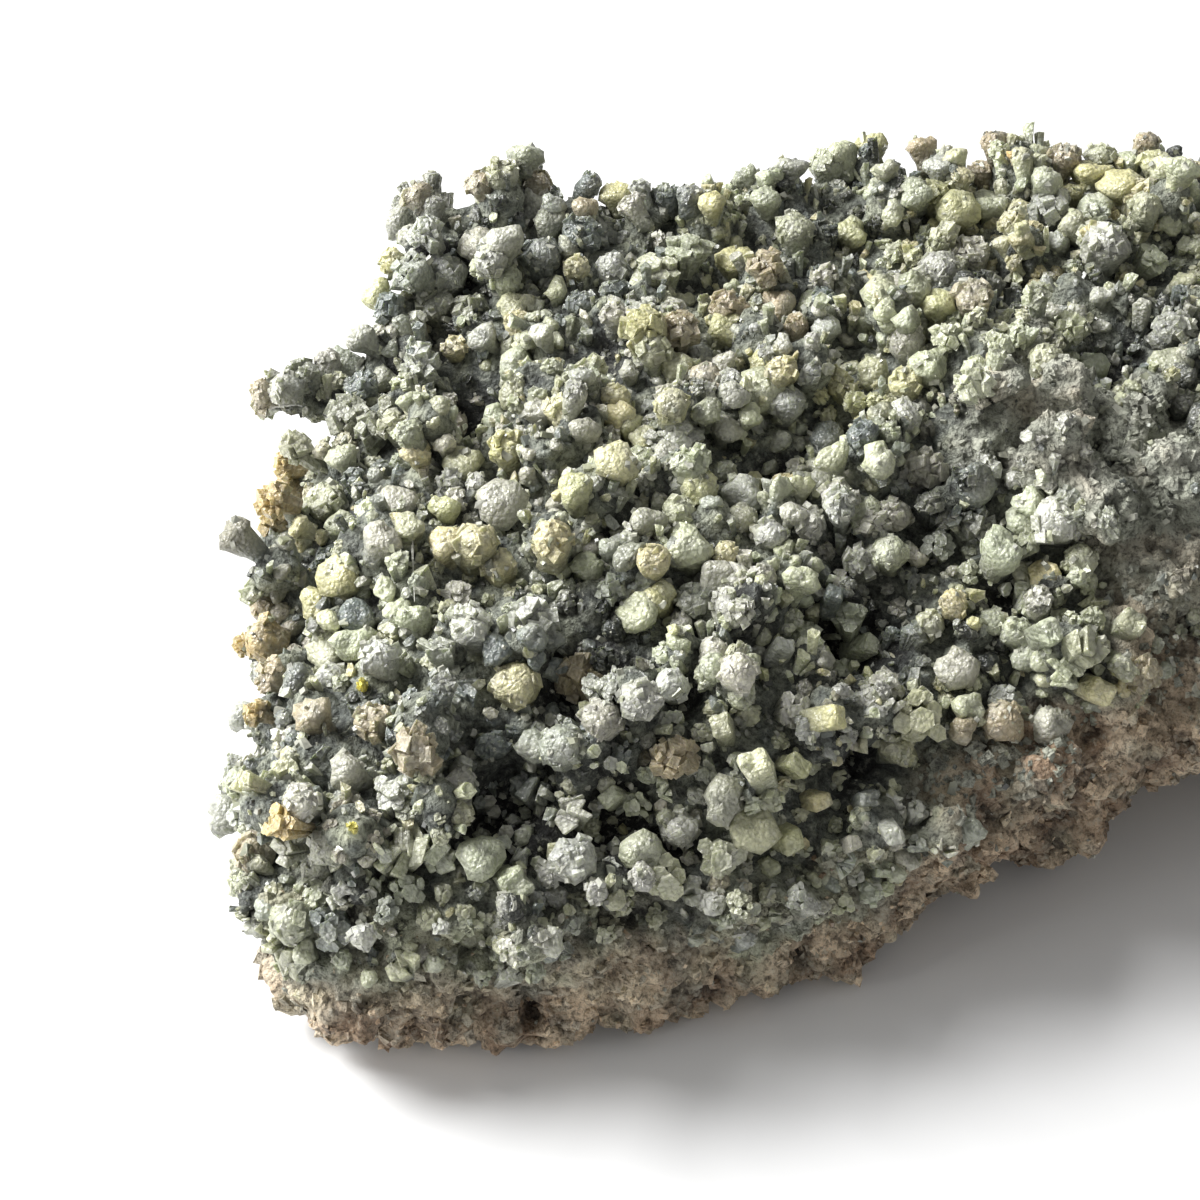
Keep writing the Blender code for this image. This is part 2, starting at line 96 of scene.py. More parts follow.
# Crystals that can be told apart in the photo: where each head is in the 1200-pixel picture, its radius in
# millimetres, its kind, its colour, and, where it leans, how far right and up in the picture.
HEROES = [
    (526, 161, 2.0, "finger", SAGE, 0, 0.6), (501, 179, 2.2, "rough", SAGE, -0.2, 0.4),
    (539, 181, 1.7, "rough", TAN, 0.3, 0.4), (470, 181, 1.7, "rough", TAN, -0.2, 0.4),
    (417, 197, 1.9, "rough", TAN, -0.5, 0.3), (432, 209, 1.8, "rough", ASH, 0, 0.2),
    (537, 207, 2.0, "finger", FROST, 0.2, 0), (552, 204, 1.2, "finger", ASH, 0.5, 0),
    (427, 235, 2.0, "knob", ASH, -0.3, 0), (478, 248, 1.9, "finger", ASH), (506, 242, 1.8, "finger", ASH),
    (491, 263, 1.8, "rough", ASH), (542, 258, 2.3, "rough", SLATE), (583, 235, 2.4, "rough", SLATE),
    (378, 268, 1.6, "rough", YELLOW_GREEN, -0.5, 0.2), (366, 283, 1.6, "finger", YELLOW_GREEN, -0.6, 0),
    (412, 273, 2.6, "rough", GREY_GREEN), (447, 278, 2.4, "rough", ASH), (389, 309, 1.7, "knob", SLATE),
    (435, 306, 2.2, "rough", GREY_GREEN), (470, 314, 2.0, "knob", GREY_GREEN),
    (417, 324, 1.3, "knob", FROST), (389, 334, 1.8, "rough", ASH), (506, 283, 1.7, "rough", PALE_GREEN),
    (516, 309, 1.9, "finger", PALE_GREEN), (519, 324, 1.5, "rough", CREAM),
    (483, 339, 1.6, "finger", ASH, -0.6, 0), (455, 347, 1.4, "rough", CREAM),
    (557, 291, 1.3, "finger", PALE_GREEN), (542, 334, 1.1, "finger", FROST),
    (576, 270, 1.5, "rough", CREAM), (517, 366, 1.9, "finger", SAGE, 0, -0.8),
    (518, 395, 1.7, "finger", SAGE, 0, -0.8), (562, 413, 1.9, "rough", CREAM),
    (539, 413, 1.5, "finger", ASH), (422, 367, 2.1, "knob", ASH), (363, 388, 2.0, "rough", SLATE),
    (348, 421, 2.4, "knob", GREY_GREEN), (373, 431, 1.8, "knob", GREY_GREEN),
    (264, 397, 2.0, "rough", TAN, -0.9, -0.1), (285, 390, 2.1, "rough", ASH, -0.8, 0),
    (303, 378, 2.0, "rough", GREY_GREEN, -0.6, 0), (333, 350, 1.6, "rough", ASH, -0.4, 0.3),
    (358, 340, 1.7, "finger", ASH, -0.3, 0.2), (409, 434, 1.6, "rough", PALE_GREEN),
    (417, 454, 1.5, "rough", CREAM), (464, 464, 1.8, "finger", PALE_GREEN),
    (445, 446, 1.0, "finger", FROST), (506, 449, 1.9, "rough", YELLOW_GREEN),
    (497, 421, 1.5, "finger", SAGE), (342, 459, 1.5, "finger", SAGE),
    (298, 462, 1.2, "finger", PALE_GREEN, -0.2, 0), (274, 469, 1.6, "knob", OCHRE, -0.5, 0),
    (289, 493, 1.9, "rough", OCHRE, -0.3, 0), (272, 505, 1.8, "knob", OCHRE, -0.6, 0),
    (274, 525, 1.5, "knob", OCHRE, -0.6, -0.1), (617, 202, 1.8, "finger", YELLOW_GREEN, 0, 0.6),
    (585, 209, 1.3, "finger", TAN, 0, 0.5), (667, 202, 1.8, "rough", SLATE, 0, 0.3),
    (690, 199, 1.7, "rough", SLATE, 0, 0.3), (712, 207, 1.4, "finger", YELLOW_GREEN),
    (745, 181, 1.4, "finger", SAGE, 0, 0.5), (767, 199, 1.6, "finger", SAGE),
    (769, 179, 1.4, "finger", PALE_GREEN, 0, 0.3), (790, 168, 1.8, "finger", ASH, 0, 0.4),
    (833, 156, 1.8, "finger", PALE_GREEN, 0, 0.5), (828, 171, 2.4, "rough", SAGE, 0, 0.2),
    (871, 150, 1.7, "finger", YELLOW_GREEN, 0, 0.5), (917, 148, 1.7, "finger", TAN, 0, 0.5),
    (940, 168, 1.6, "finger", ASH, 0, 0.2), (598, 235, 3.0, "rough", SLATE),
    (688, 252, 2.6, "sheaf", SAGE, 0.2, 0), (654, 276, 3.0, "sheaf", SAGE, -0.3, 0),
    (736, 265, 2.2, "finger", YELLOW_GREEN), (767, 270, 1.9, "knob", TAN), (795, 232, 2.2, "rough", SAGE),
    (851, 235, 1.7, "finger", YELLOW_GREEN, 0.2, 0.2), (825, 278, 1.4, "knob", ASH),
    (865, 283, 1.2, "finger", CREAM), (902, 288, 1.5, "finger", ASH), (909, 255, 1.6, "rough", CREAM),
    (611, 270, 1.7, "rough", ASH), (614, 316, 1.5, "rough", ASH), (644, 329, 2.2, "knob", YELLOW_GREEN),
    (680, 332, 2.0, "knob", TAN), (654, 352, 1.9, "rough", SAGE), (677, 367, 1.5, "finger", PALE_GREEN),
    (728, 306, 2.0, "knob", TAN), (777, 309, 1.8, "finger", TAN),
    (728, 332, 1.9, "finger", YELLOW_GREEN, 0.6, -0.4), (810, 304, 1.3, "finger", PALE_GREEN, -0.8, 0),
    (795, 327, 1.4, "rough", TAN), (825, 329, 1.4, "finger", ASH), (861, 322, 1.6, "finger", SAGE),
    (764, 365, 1.5, "finger", YELLOW_GREEN), (782, 373, 1.7, "rough", CREAM),
    (762, 393, 2.3, "finger", PALE_GREEN), (787, 406, 2.0, "rough", ASH), (705, 383, 1.9, "rough", TAN),
    (733, 395, 1.4, "finger", ASH, 0, -0.4), (614, 398, 1.6, "rough", CREAM),
    (672, 408, 1.9, "rough", YELLOW_GREEN), (705, 413, 1.4, "finger", SAGE, -0.3, 0),
    (749, 416, 1.2, "finger", PALE_GREEN), (619, 418, 1.5, "finger", CREAM),
    (631, 426, 1.2, "finger", YELLOW_GREEN), (644, 441, 1.3, "finger", YELLOW_GREEN),
    (726, 429, 1.4, "finger", ASH), (682, 436, 2.4, "sheaf", ASH), (616, 467, 2.0, "finger", CREAM),
    (642, 464, 1.8, "rough", SAGE), (690, 464, 1.9, "rough", PALE_GREEN),
    (700, 490, 2.0, "rough", YELLOW_GREEN), (744, 497, 1.9, "finger", ASH), (784, 487, 1.5, "rough", CREAM),
    (805, 485, 1.2, "finger", PALE_GREEN), (874, 375, 1.7, "finger", PALE_GREEN, -0.4, 0),
    (907, 383, 1.9, "rough", YELLOW_GREEN), (907, 344, 2.0, "rough", FROST),
    (930, 367, 1.9, "finger", PALE_GREEN), (937, 309, 1.8, "finger", YELLOW_GREEN),
    (907, 321, 1.3, "finger", SAGE), (879, 462, 1.7, "finger", PALE_GREEN), (922, 469, 2.2, "knob", ASH),
    (902, 421, 2.2, "rough", FROST), (863, 436, 1.6, "rough", SLATE), (994, 148, 1.7, "rough", TAN, 0, 0.6),
    (1016, 158, 1.0, "finger", OCHRE, 0.2, 0.5), (1070, 161, 2.0, "rough", TAN, 0, 0.4),
    (1101, 148, 1.8, "rough", PALE_GREEN, 0, 0.4), (1142, 143, 1.6, "rough", TAN, 0, 0.5),
    (1091, 174, 2.2, "finger", YELLOW_GREEN), (1127, 168, 1.6, "finger", PALE_GREEN, 0, 0.2),
    (1155, 166, 2.0, "rough", YELLOW_GREEN, 0, 0.2), (1121, 189, 2.4, "finger", YELLOW_GREEN),
    (1183, 176, 2.0, "rough", TAN, 0, 0.2), (984, 179, 2.0, "rough", TAN),
    (1045, 184, 1.7, "finger", PALE_GREEN), (1070, 194, 1.9, "finger", YELLOW_GREEN),
    (1050, 209, 2.2, "knob", ASH), (933, 197, 2.2, "knob", YELLOW_GREEN),
    (958, 214, 2.2, "finger", YELLOW_GREEN), (989, 207, 2.0, "finger", SAGE),
    (935, 227, 1.1, "block", YELLOW_GREEN, -0.4, 0.4), (1022, 230, 1.1, "block", YELLOW_GREEN, 0, 0.6),
    (1146, 209, 1.7, "rough", PALE_GREEN), (1058, 242, 1.5, "finger", ASH, -0.3, 0),
    (1096, 212, 1.7, "finger", SAGE), (940, 270, 2.2, "rough", ASH), (970, 255, 2.4, "rough", ASH),
    (973, 299, 2.2, "rough", TAN), (1106, 248, 2.6, "rough", ASH),
    (1152, 263, 2.0, "sheaf", PALE_GREEN, 0.4, 0), (1045, 362, 1.7, "rough", PALE_GREEN),
    (1091, 370, 1.9, "finger", SAGE, -0.4, 0.2), (1170, 367, 2.0, "finger", SAGE),
    (1172, 329, 2.2, "rough", ASH), (1142, 309, 1.1, "block", ASH, 0, 0.3),
    (975, 485, 1.9, "finger", SLATE, 0.6, -0.5), (828, 441, 1.7, "finger", SLATE, 0.5, -0.4),
    (839, 500, 2.0, "rough", FROST), (864, 516, 2.0, "rough", PALE_GREEN), (892, 516, 1.8, "rough", ASH),
    (861, 562, 1.7, "knob", ASH), (889, 554, 1.8, "rough", PALE_GREEN), (915, 556, 1.1, "finger", ASH),
    (833, 597, 1.3, "block", SLATE), (851, 618, 2.0, "sheaf", SAGE, -0.2, 0),
    (866, 647, 1.4, "block", PALE_GREEN, 0.6, -0.3), (884, 687, 1.9, "sheaf", ASH, 0.2, 0),
    (930, 625, 1.5, "rough", PALE_GREEN), (953, 605, 1.5, "rough", CREAM),
    (940, 546, 1.8, "sheaf", GREY_GREEN), (991, 623, 1.6, "rough", PALE_GREEN),
    (1017, 633, 1.7, "rough", PALE_GREEN), (1047, 633, 1.7, "block", PALE_GREEN, 0.2, -0.3),
    (1024, 659, 1.5, "finger", SAGE), (1030, 503, 1.4, "finger", PALE_GREEN),
    (1058, 521, 2.6, "rough", FROST), (1019, 523, 1.3, "finger", SAGE),
    (1046, 576, 1.5, "finger", CREAM, -0.4, 0), (1080, 562, 1.8, "rough", SAGE),
    (1037, 602, 1.5, "rough", FROST), (1129, 625, 1.7, "block", SAGE),
    (1088, 648, 2.4, "fan", PALE_GREEN, 0.3, 0.3), (1066, 672, 2.2, "fan", PALE_GREEN, -0.3, -0.2),
    (1097, 690, 1.7, "block", CREAM, 0, -0.3), (917, 718, 2.8, "sheaf", PALE_GREEN, -0.2, -0.5),
    (968, 707, 1.4, "finger", PALE_GREEN, 0, -0.3), (963, 730, 1.2, "finger", TAN, 0, -0.4),
    (1002, 722, 2.2, "rough", TAN, 0, -0.4), (1002, 699, 1.5, "rough", ASH),
    (1050, 725, 1.9, "finger", ASH, 0, -0.3), (956, 669, 1.9, "finger", ASH),
    (1142, 674, 2.0, "sheaf", TAN, 0.3, 0), (687, 549, 2.3, "finger", PALE_GREEN, -0.2, 0),
    (653, 562, 1.7, "rough", CREAM), (638, 615, 1.9, "finger", PALE_GREEN, -0.3, 0),
    (658, 600, 1.7, "finger", YELLOW_GREEN), (726, 555, 1.4, "rough", CREAM),
    (735, 580, 1.8, "rough", FROST), (575, 491, 1.7, "finger", YELLOW_GREEN, 0.2, 0),
    (552, 543, 2.2, "rough", CREAM), (587, 568, 1.5, "finger", PALE_GREEN),
    (679, 513, 1.8, "rough", PALE_GREEN), (740, 520, 1.8, "rough", PALE_GREEN),
    (770, 535, 1.6, "rough", ASH), (793, 516, 1.2, "finger", ASH), (533, 623, 2.2, "knob", ASH),
    (515, 686, 2.4, "rough", CREAM), (579, 681, 2.4, "knob", TAN), (671, 687, 1.8, "rough", FROST),
    (737, 674, 2.0, "rough", FROST), (714, 656, 1.7, "rough", FROST, 0, 0.2),
    (672, 757, 2.1, "knob", TAN, 0, -0.2), (757, 768, 1.9, "block", PALE_GREEN, -0.3, 0),
    (796, 766, 1.5, "block", YELLOW_GREEN, 0.3, 0), (818, 801, 1.5, "block", CREAM, 0.3, -0.3),
    (788, 840, 1.6, "block", YELLOW_GREEN, 0.4, -0.4), (832, 717, 1.5, "block", YELLOW_GREEN, 0.8, -0.2),
    (791, 712, 1.8, "sheaf", ASH, 0.3, -0.3), (783, 648, 1.3, "block", ASH),
    (722, 727, 1.6, "block", SAGE, -0.2, 0), (612, 797, 1.5, "block", SAGE, -0.4, -0.3),
    (533, 748, 1.5, "finger", GREY_GREEN), (562, 748, 2.2, "rough", GREY_GREEN, -0.2, 0),
    (600, 722, 2.2, "rough", ASH, 0.2, 0), (640, 702, 2.1, "rough", ASH, 0.3, 0),
    (530, 787, 2.2, "fan", SLATE, -0.2, 0), (513, 822, 0.8, "block", FROST, -0.6, -0.2),
    (572, 812, 2.0, "fan", FROST), (679, 828, 2.0, "rough", FROST), (724, 802, 2.0, "finger", GREY_GREEN),
    (752, 828, 2.2, "finger", PALE_GREEN, 0.4, 0.3), (719, 856, 2.4, "sheaf", SAGE, 0, -0.4),
    (663, 876, 2.5, "sheaf", PALE_GREEN, 0, -0.5), (643, 853, 2.2, "finger", SAGE, -0.2, -0.3),
    (574, 858, 2.2, "rough", FROST, 0, -0.3), (559, 853, 1.4, "block", PALE_GREEN),
    (869, 799, 1.3, "block", SLATE), (852, 843, 0.9, "block", ASH, 0.2, 0.3),
    (893, 835, 1.2, "block", ASH, 0, -0.3), (694, 602, 2.0, "rough", GREY_GREEN),
    (740, 612, 1.3, "knob", FROST), (446, 545, 1.8, "finger", CREAM, -0.1, 0),
    (476, 546, 2.2, "rough", CREAM), (498, 568, 1.9, "rough", CREAM, 0.1, 0),
    (343, 580, 2.2, "finger", YELLOW_GREEN), (317, 604, 1.7, "finger", YELLOW_GREEN),
    (386, 590, 1.1, "finger", PALE_GREEN), (301, 526, 1.3, "finger", CREAM, -0.4, 0),
    (339, 527, 1.5, "finger", PALE_GREEN, 0.3, 0), (328, 503, 2.5, "rough", SAGE),
    (396, 504, 1.8, "finger", ASH), (445, 511, 1.4, "finger", YELLOW_GREEN), (503, 508, 2.4, "finger", ASH),
    (381, 541, 1.7, "finger", ASH), (409, 528, 1.4, "finger", PALE_GREEN),
    (266, 604, 2.2, "rough", TAN, -0.4, 0), (264, 640, 2.3, "rough", OCHRE, -0.5, 0),
    (272, 676, 2.0, "rough", TAN, -0.5, 0), (241, 648, 1.1, "knob", OCHRE, -0.9, 0),
    (250, 600, 1.6, "fan", SAGE, -0.5, 0.1), (328, 653, 2.0, "finger", SAGE, -0.2, 0),
    (358, 618, 1.8, "finger", SLATE), (416, 620, 1.4, "finger", PALE_GREEN),
    (397, 612, 1.3, "finger", PALE_GREEN), (470, 627, 2.2, "rough", FROST), (458, 596, 1.8, "sheaf", ASH),
    (380, 660, 2.0, "rough", FROST), (335, 682, 2.0, "rough", FROST), (437, 645, 1.8, "fan", GREY_GREEN),
    (312, 717, 1.8, "finger", TAN, -0.2, 0), (376, 725, 2.0, "rough", TAN), (417, 752, 2.4, "knob", TAN),
    (348, 772, 1.7, "finger", ASH, -0.5, -0.2), (284, 825, 2.0, "sheaf", OCHRE, -0.4, 0),
    (251, 853, 2.2, "rough", TAN, -0.7, 0), (259, 713, 1.3, "knob", OCHRE, -0.6, 0.2),
    (289, 743, 1.8, "rough", FROST), (302, 802, 1.8, "rough", FROST), (394, 796, 2.0, "sheaf", FROST),
    (463, 764, 0.8, "block", FROST, 0.7, 0.1), (463, 803, 1.0, "block", ASH, 0.5, 0),
    (460, 784, 1.6, "rough", ASH), (389, 856, 2.4, "fan", PALE_GREEN, -0.2, 0.4),
    (412, 845, 2.2, "fan", SAGE, 0.1, 0.4), (366, 860, 0.9, "block", FROST, 0, 0.2),
    (435, 856, 2.4, "fan", PALE_GREEN), (481, 858, 2.2, "finger", SAGE),
    (514, 884, 2.0, "block", PALE_GREEN, 0.2, -0.2), (519, 902, 1.0, "rough", FROST, 0, -0.5),
    (294, 922, 2.2, "rough", SAGE, -0.3, 0), (333, 926, 2.2, "sheaf", SLATE),
    (363, 935, 1.4, "rough", FROST), (340, 896, 1.3, "fan", FROST), (266, 940, 1.5, "fan", ASH, -0.5, 0),
    (284, 966, 2.3, "fan", SAGE, -0.4, -0.3), (917, 812, 1.0, "sheaf", FROST, 0.1, 0.7),
    (352, 828, 0.6, "knob", LEMON), (363, 685, 0.6, "knob", LEMON),
]

# Hollows between the crystals: where they are in the picture, and their reach and depth in millimetres.
# The slab is also painted darker in them as shade.
HOLLOWS = [
    (464, 395, 3.8, 5.0), (392, 358, 3.0, 3.0), (508, 812, 4.4, 5.5), (620, 828, 3.6, 5.0),
    (676, 846, 2.6, 4.0), (868, 622, 4.4, 5.0), (590, 655, 4.0, 3.5), (722, 600, 3.2, 3.0),
    (872, 765, 3.4, 4.0), (842, 425, 3.2, 3.5), (705, 345, 3.0, 3.5), (595, 340, 3.4, 3.0),
    (1000, 590, 3.0, 3.0), (1130, 330, 4.0, 3.0), (560, 640, 3.0, 2.5), (780, 460, 3.0, 2.5),
    (640, 510, 3.0, 2.5), (450, 480, 2.6, 2.0), (340, 905, 2.6, 2.5), (535, 925, 2.0, 2.5),
    (468, 950, 1.8, 2.5), (390, 1003, 1.8, 2.0), (680, 700, 2.4, 2.0), (905, 300, 2.6, 2.5),
    (1010, 260, 3.0, 2.5), (445, 250, 2.6, 3.0),
]

# Where the slab stands out: where that is in the picture, its reach in millimetres, how bare it is there,
# and how far it stands out in millimetres. Bare places are grey rock in the crust's middle and brown matrix
# at its front edge.
SWELLS = [
    (1070, 425, 9.0, 1.0, 2.8), (1135, 455, 9.5, 1.0, 2.8), (1010, 425, 6.0, 0.9, 1.4),
    (1165, 545, 8.0, 1.0, 1.8), (1035, 345, 4.2, 0.7, 2.0), (1170, 640, 6.0, 0.8, 0.8),
    (1110, 500, 4.5, 0.8, 1.4), (985, 340, 3.0, 0.5, 1.2), (640, 195, 5.0, 0.0, 3.0),
    (700, 190, 5.0, 0.0, 3.6), (760, 178, 5.5, 0.0, 4.0), (825, 165, 5.5, 0.0, 4.6),
    (890, 160, 5.5, 0.0, 4.6), (950, 165, 5.5, 0.0, 4.2), (1010, 160, 5.0, 0.0, 3.4),
    (970, 790, 5.5, 1.0, 0.0), (1010, 775, 5.5, 1.0, 1.0), (1060, 760, 6.0, 1.0, 1.6),
    (1060, 830, 4.5, 1.0, 2.6), (1110, 760, 6.5, 1.0, 1.2), (1160, 740, 6.5, 1.0, 2.4),
    (1195, 725, 6.5, 1.0, 2.4), (330, 1020, 6.5, 1.0, 2.4), (400, 1030, 7.0, 1.0, 2.4),
    (475, 1035, 6.0, 1.0, 1.6), (700, 980, 6.5, 1.0, 2.6), (770, 970, 7.0, 1.0, 3.2),
    (840, 950, 6.5, 1.0, 2.2),
]

PICTURE_SIZE = 1200


def linear(colour):
    """An sRGB colour as the linear one that shaders take."""
    return np.array([c / 12.92 if c < 0.04045 else ((c + 0.055) / 1.055) ** 2.4 for c in colour])


def smooth_step(low, high, x):
    """A soft rise from 0 to 1 between two values, for an array."""
    x = np.clip((x - low) / (high - low), 0.0, 1.0)
    return x * x * (3 - 2 * x)


def step_up(low, high, x):
    """A rise from 0 to 1 between two values, for one number."""
    return min(1.0, max(0.0, (x - low) / (high - low)))


GRIME_SHIFT = Vector((5, 1, 8))
FROST_AND_HIGHLIGHT_SHIFT = Vector((2, 6, 3))


class SlabSettings(bpy.types.PropertyGroup):
    """The bed of matrix that the crystals grow on."""

    bed_voxel: FloatProperty(name="Bed voxel", description="Size at which the solid is rounded off",
                             default=0.0008, unit="LENGTH")
    bed_smoothing: IntProperty(name="Bed smoothing", description="Passes that soften the bed",
                               default=10)
    faces: IntProperty(name="Faces", description="Triangles kept on the finished slab",
                       default=145000)
    crust_depth: FloatProperty(name="Crust depth", description="How far the bed lies below the solid",
                               default=0.0003, unit="LENGTH")
    crust_waves: FloatProperty(name="Crust waves", description="Height of the crust's ridges and dips",
                               default=0.0021, unit="LENGTH")
    crust_relief: FloatProperty(name="Crust relief", description="Height of the lumps between crystals",
                                default=0.0011, unit="LENGTH")
    matrix_relief: FloatProperty(name="Matrix relief", description="Height of the broken faces' ridges",
                                 default=0.0022, unit="LENGTH")


class CrystalSettings(bpy.types.PropertyGroup):
    """The fingers, knobs, sheaves and blocks."""

    packing: FloatProperty(name="Packing", description="Gap between neighbours as a share of their radii",
                           default=0.93)
    least_radius: FloatProperty(name="Least radius", description="Radius of the thinnest finger",
                                default=0.00085, unit="LENGTH")
    greatest_radius: FloatProperty(name="Greatest radius", description="Radius of the fattest finger",
                                   default=0.0019, unit="LENGTH")
    fullness: FloatProperty(name="Fullness", description="How far a cluster spreads before druse takes over",
                            default=1.0)
    tries: IntProperty(name="Tries", description="Places tried for a crystal", default=30000)
    seed: IntProperty(name="Seed", description="Picks another crust of the same kind", default=7)


class DruseSettings(bpy.types.PropertyGroup):
    """The sugary grains, the slim crystals and the crumbs of rock."""

    seed: IntProperty(name="Seed", description="Picks other places for all of them", default=11)
    grains: IntProperty(name="Grains", description="How many grains there are", default=8000)
    least_size: FloatProperty(name="Least size", description="Size of the smallest grain",
                              default=0.00026, unit="LENGTH")
    greatest_size: FloatProperty(name="Greatest size", description="Size of the largest grain",
                                 default=0.0009, unit="LENGTH")
    laths: IntProperty(name="Laths", description="How many slim crystals stand between the big ones",
                       default=4300)
    thinnest_lath: FloatProperty(name="Thinnest lath", description="Radius of the thinnest slim crystal",
                                 default=0.00036, unit="LENGTH")
    thickest_lath: FloatProperty(name="Thickest lath", description="Radius of the thickest slim crystal",
                                 default=0.00090, unit="LENGTH")
    longest_lath: FloatProperty(name="Longest lath", description="Length of the longest slim crystal",
                                default=0.0033, unit="LENGTH")
    crumbs: IntProperty(name="Crumbs", description="How many crumbs of rock lie on the bare matrix",
                        default=6000)
    least_crumb: FloatProperty(name="Least crumb", description="Size of the smallest crumb",
                               default=0.0005, unit="LENGTH")
    greatest_crumb: FloatProperty(name="Greatest crumb", description="Size of the largest crumb",
                                  default=0.0013, unit="LENGTH")


class StageSettings(bpy.types.PropertyGroup):
    """Camera, lights and floor."""

    distance: FloatProperty(name="Distance", description="From the camera to the specimen",
                            default=0.290, unit="LENGTH")
    elevation: FloatProperty(name="Elevation", description="How far the camera looks down",
                             default=math.radians(46), subtype="ANGLE")
    half_view: FloatProperty(name="Half view", description="Half the width seen at the specimen",
                             default=0.060, unit="LENGTH")
    aim: FloatVectorProperty(name="Aim", description="The point that the camera looks at",
                             default=(-0.0291, -0.0092, 0.024), subtype="TRANSLATION", unit="LENGTH")
    key_power: FloatProperty(name="Key power", description="Strength of the soft light on the left",
                             default=16.5, unit="POWER")
    fill_power: FloatProperty(name="Fill power", description="Strength of the weak low light on the left",
                              default=2.4, unit="POWER")
    sky: FloatProperty(name="Sky", description="Strength of the light from all round", default=0.34)
    floor_colour: FloatVectorProperty(name="Floor", description="The floor's colour",
                                      default=(0.82, 0.82, 0.82), subtype="COLOR")


def settings():
    """The scene's settings of the specimen."""
    return bpy.context.scene.prehnite


class SpecimenSettings(bpy.types.PropertyGroup):
    """All settings of the specimen."""

    slab: PointerProperty(type=SlabSettings)
    crystals: PointerProperty(type=CrystalSettings)
    druse: PointerProperty(type=DruseSettings)
    stage: PointerProperty(type=StageSettings)


def camera_place():
    """Where the camera is and which way it looks."""
    stage = settings().stage
    look = Vector((0, math.cos(stage.elevation), -math.sin(stage.elevation)))
    return Vector(stage.aim) - look * stage.distance, look


def picture_axes():
    """The picture's right and its up, in the scene."""
    elevation = settings().stage.elevation
    return Vector((1, 0, 0)), Vector((0, math.sin(elevation), math.cos(elevation)))


def sight_line(px, py):
    """The line from the camera through a pixel of the picture."""
    stage = settings().stage
    start, look = camera_place()
    right, up = picture_axes()
    half = PICTURE_SIZE / 2
    aside = right * ((px - half) / half) + up * ((half - py) / half)
    return start, (look * stage.distance + aside * stage.half_view).normalized()


EDGE_STEPS = 120
EDGE_REACH = 0.009


def seen_at(tree, px, py):
    """The point of a surface seen at a pixel, or the nearest to the sight line where it passes by."""
    start, direction = sight_line(px, py)
    hit = tree.ray_cast(start, direction)[0]
    if hit:
        return hit, hit
    distance = settings().stage.distance
    nearest = None
    for i in range(EDGE_STEPS):
        point = start + direction * distance * (0.7 + 0.7 * i / EDGE_STEPS)
        found, _, _, gap = tree.find_nearest(point)
        if gap < EDGE_REACH and (nearest is None or gap < nearest[2]):
            nearest = (found, point, gap)
    return (nearest[0], nearest[1]) if nearest else (None, None)


def place_in_scene(mesh, name, material):
    """A finished piece, at the origin, on its body and in its finish."""
    obj = bpy.data.objects.new(name, mesh)
    bpy.context.scene.collection.objects.link(obj)
    mesh.materials.clear()
    mesh.materials.append(material)
    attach(obj, BODY)
    return obj


def evaluated_mesh(obj):
    """The object's mesh with its modifiers applied; the object itself is removed."""
    depsgraph = bpy.context.evaluated_depsgraph_get()
    mesh = bpy.data.meshes.new_from_object(obj.evaluated_get(depsgraph))
    bpy.data.objects.remove(obj)
    return mesh


def rounded_solid(voxel, smoothing):
    """A merged copy of the solid, made into even faces of the voxel's size and softened."""
    bm = bmesh.new()
    bm.from_mesh(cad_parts[NODE].data)
    bmesh.ops.remove_doubles(bm, verts=bm.verts, dist=1e-6)
    mesh = bpy.data.meshes.new("bed")
    bm.to_mesh(mesh)
    bm.free()
    obj = bpy.data.objects.new("bed", mesh)
    bpy.context.scene.collection.objects.link(obj)
    remesh = obj.modifiers.new("Even faces", "REMESH")
    remesh.mode = "VOXEL"
    remesh.voxel_size = voxel
    soften = obj.modifiers.new("Soften", "SMOOTH")
    soften.factor = 0.5
    soften.iterations = smoothing
    return obj


def vertex_arrays(mesh):
    """Places and normals of a mesh's vertices."""
    places = np.empty(len(mesh.vertices) * 3)
    mesh.vertices.foreach_get("co", places)
    normals = np.empty(len(mesh.vertices) * 3)
    mesh.vertices.foreach_get("normal", normals)
    return places.reshape(-1, 3), normals.reshape(-1, 3)


BROAD_VOXEL = 0.003
BROAD_SMOOTHING = 14
WALL_SLOPE = 0.42
FRONT_EDGE = -0.014
FRONT_BLEND = 0.004
HOLLOW_DARK = 0.0022
HOLLOW_SPAN = 0.012
RESTING_BELOW = 0.0006
RESTING_LIFT = 0.0004


def broad_shape():
    """The slab without its crystals, which tells which way is out."""
    mesh = evaluated_mesh(rounded_solid(BROAD_VOXEL, BROAD_SMOOTHING))
    bm = bmesh.new()
    bm.from_mesh(mesh)
    tree = BVHTree.FromBMesh(bm)
    bm.free()
    return tree


def broad_normals(tree, places):
    """Which way is out at each place, single crystals apart."""
    return np.array([tree.find_nearest(Vector(p))[1] for p in places])


def matrix_share(places, broad):
    """How far a place belongs to bare matrix, from 0 on the crust to 1: the front wall and the underside."""
    front = smooth_step(0.25, 0.7, -broad[:, 1] + 0.35 * broad[:, 0])
    steep = 1 - smooth_step(WALL_SLOPE - 0.12, WALL_SLOPE + 0.12, broad[:, 2])
    low = 1 - smooth_step(0.004, 0.010, places[:, 2])
    under = smooth_step(0.2, 0.6, -broad[:, 2])
    return np.clip(np.maximum(front * steep, np.maximum(low * 0.8, under)), 0, 1)


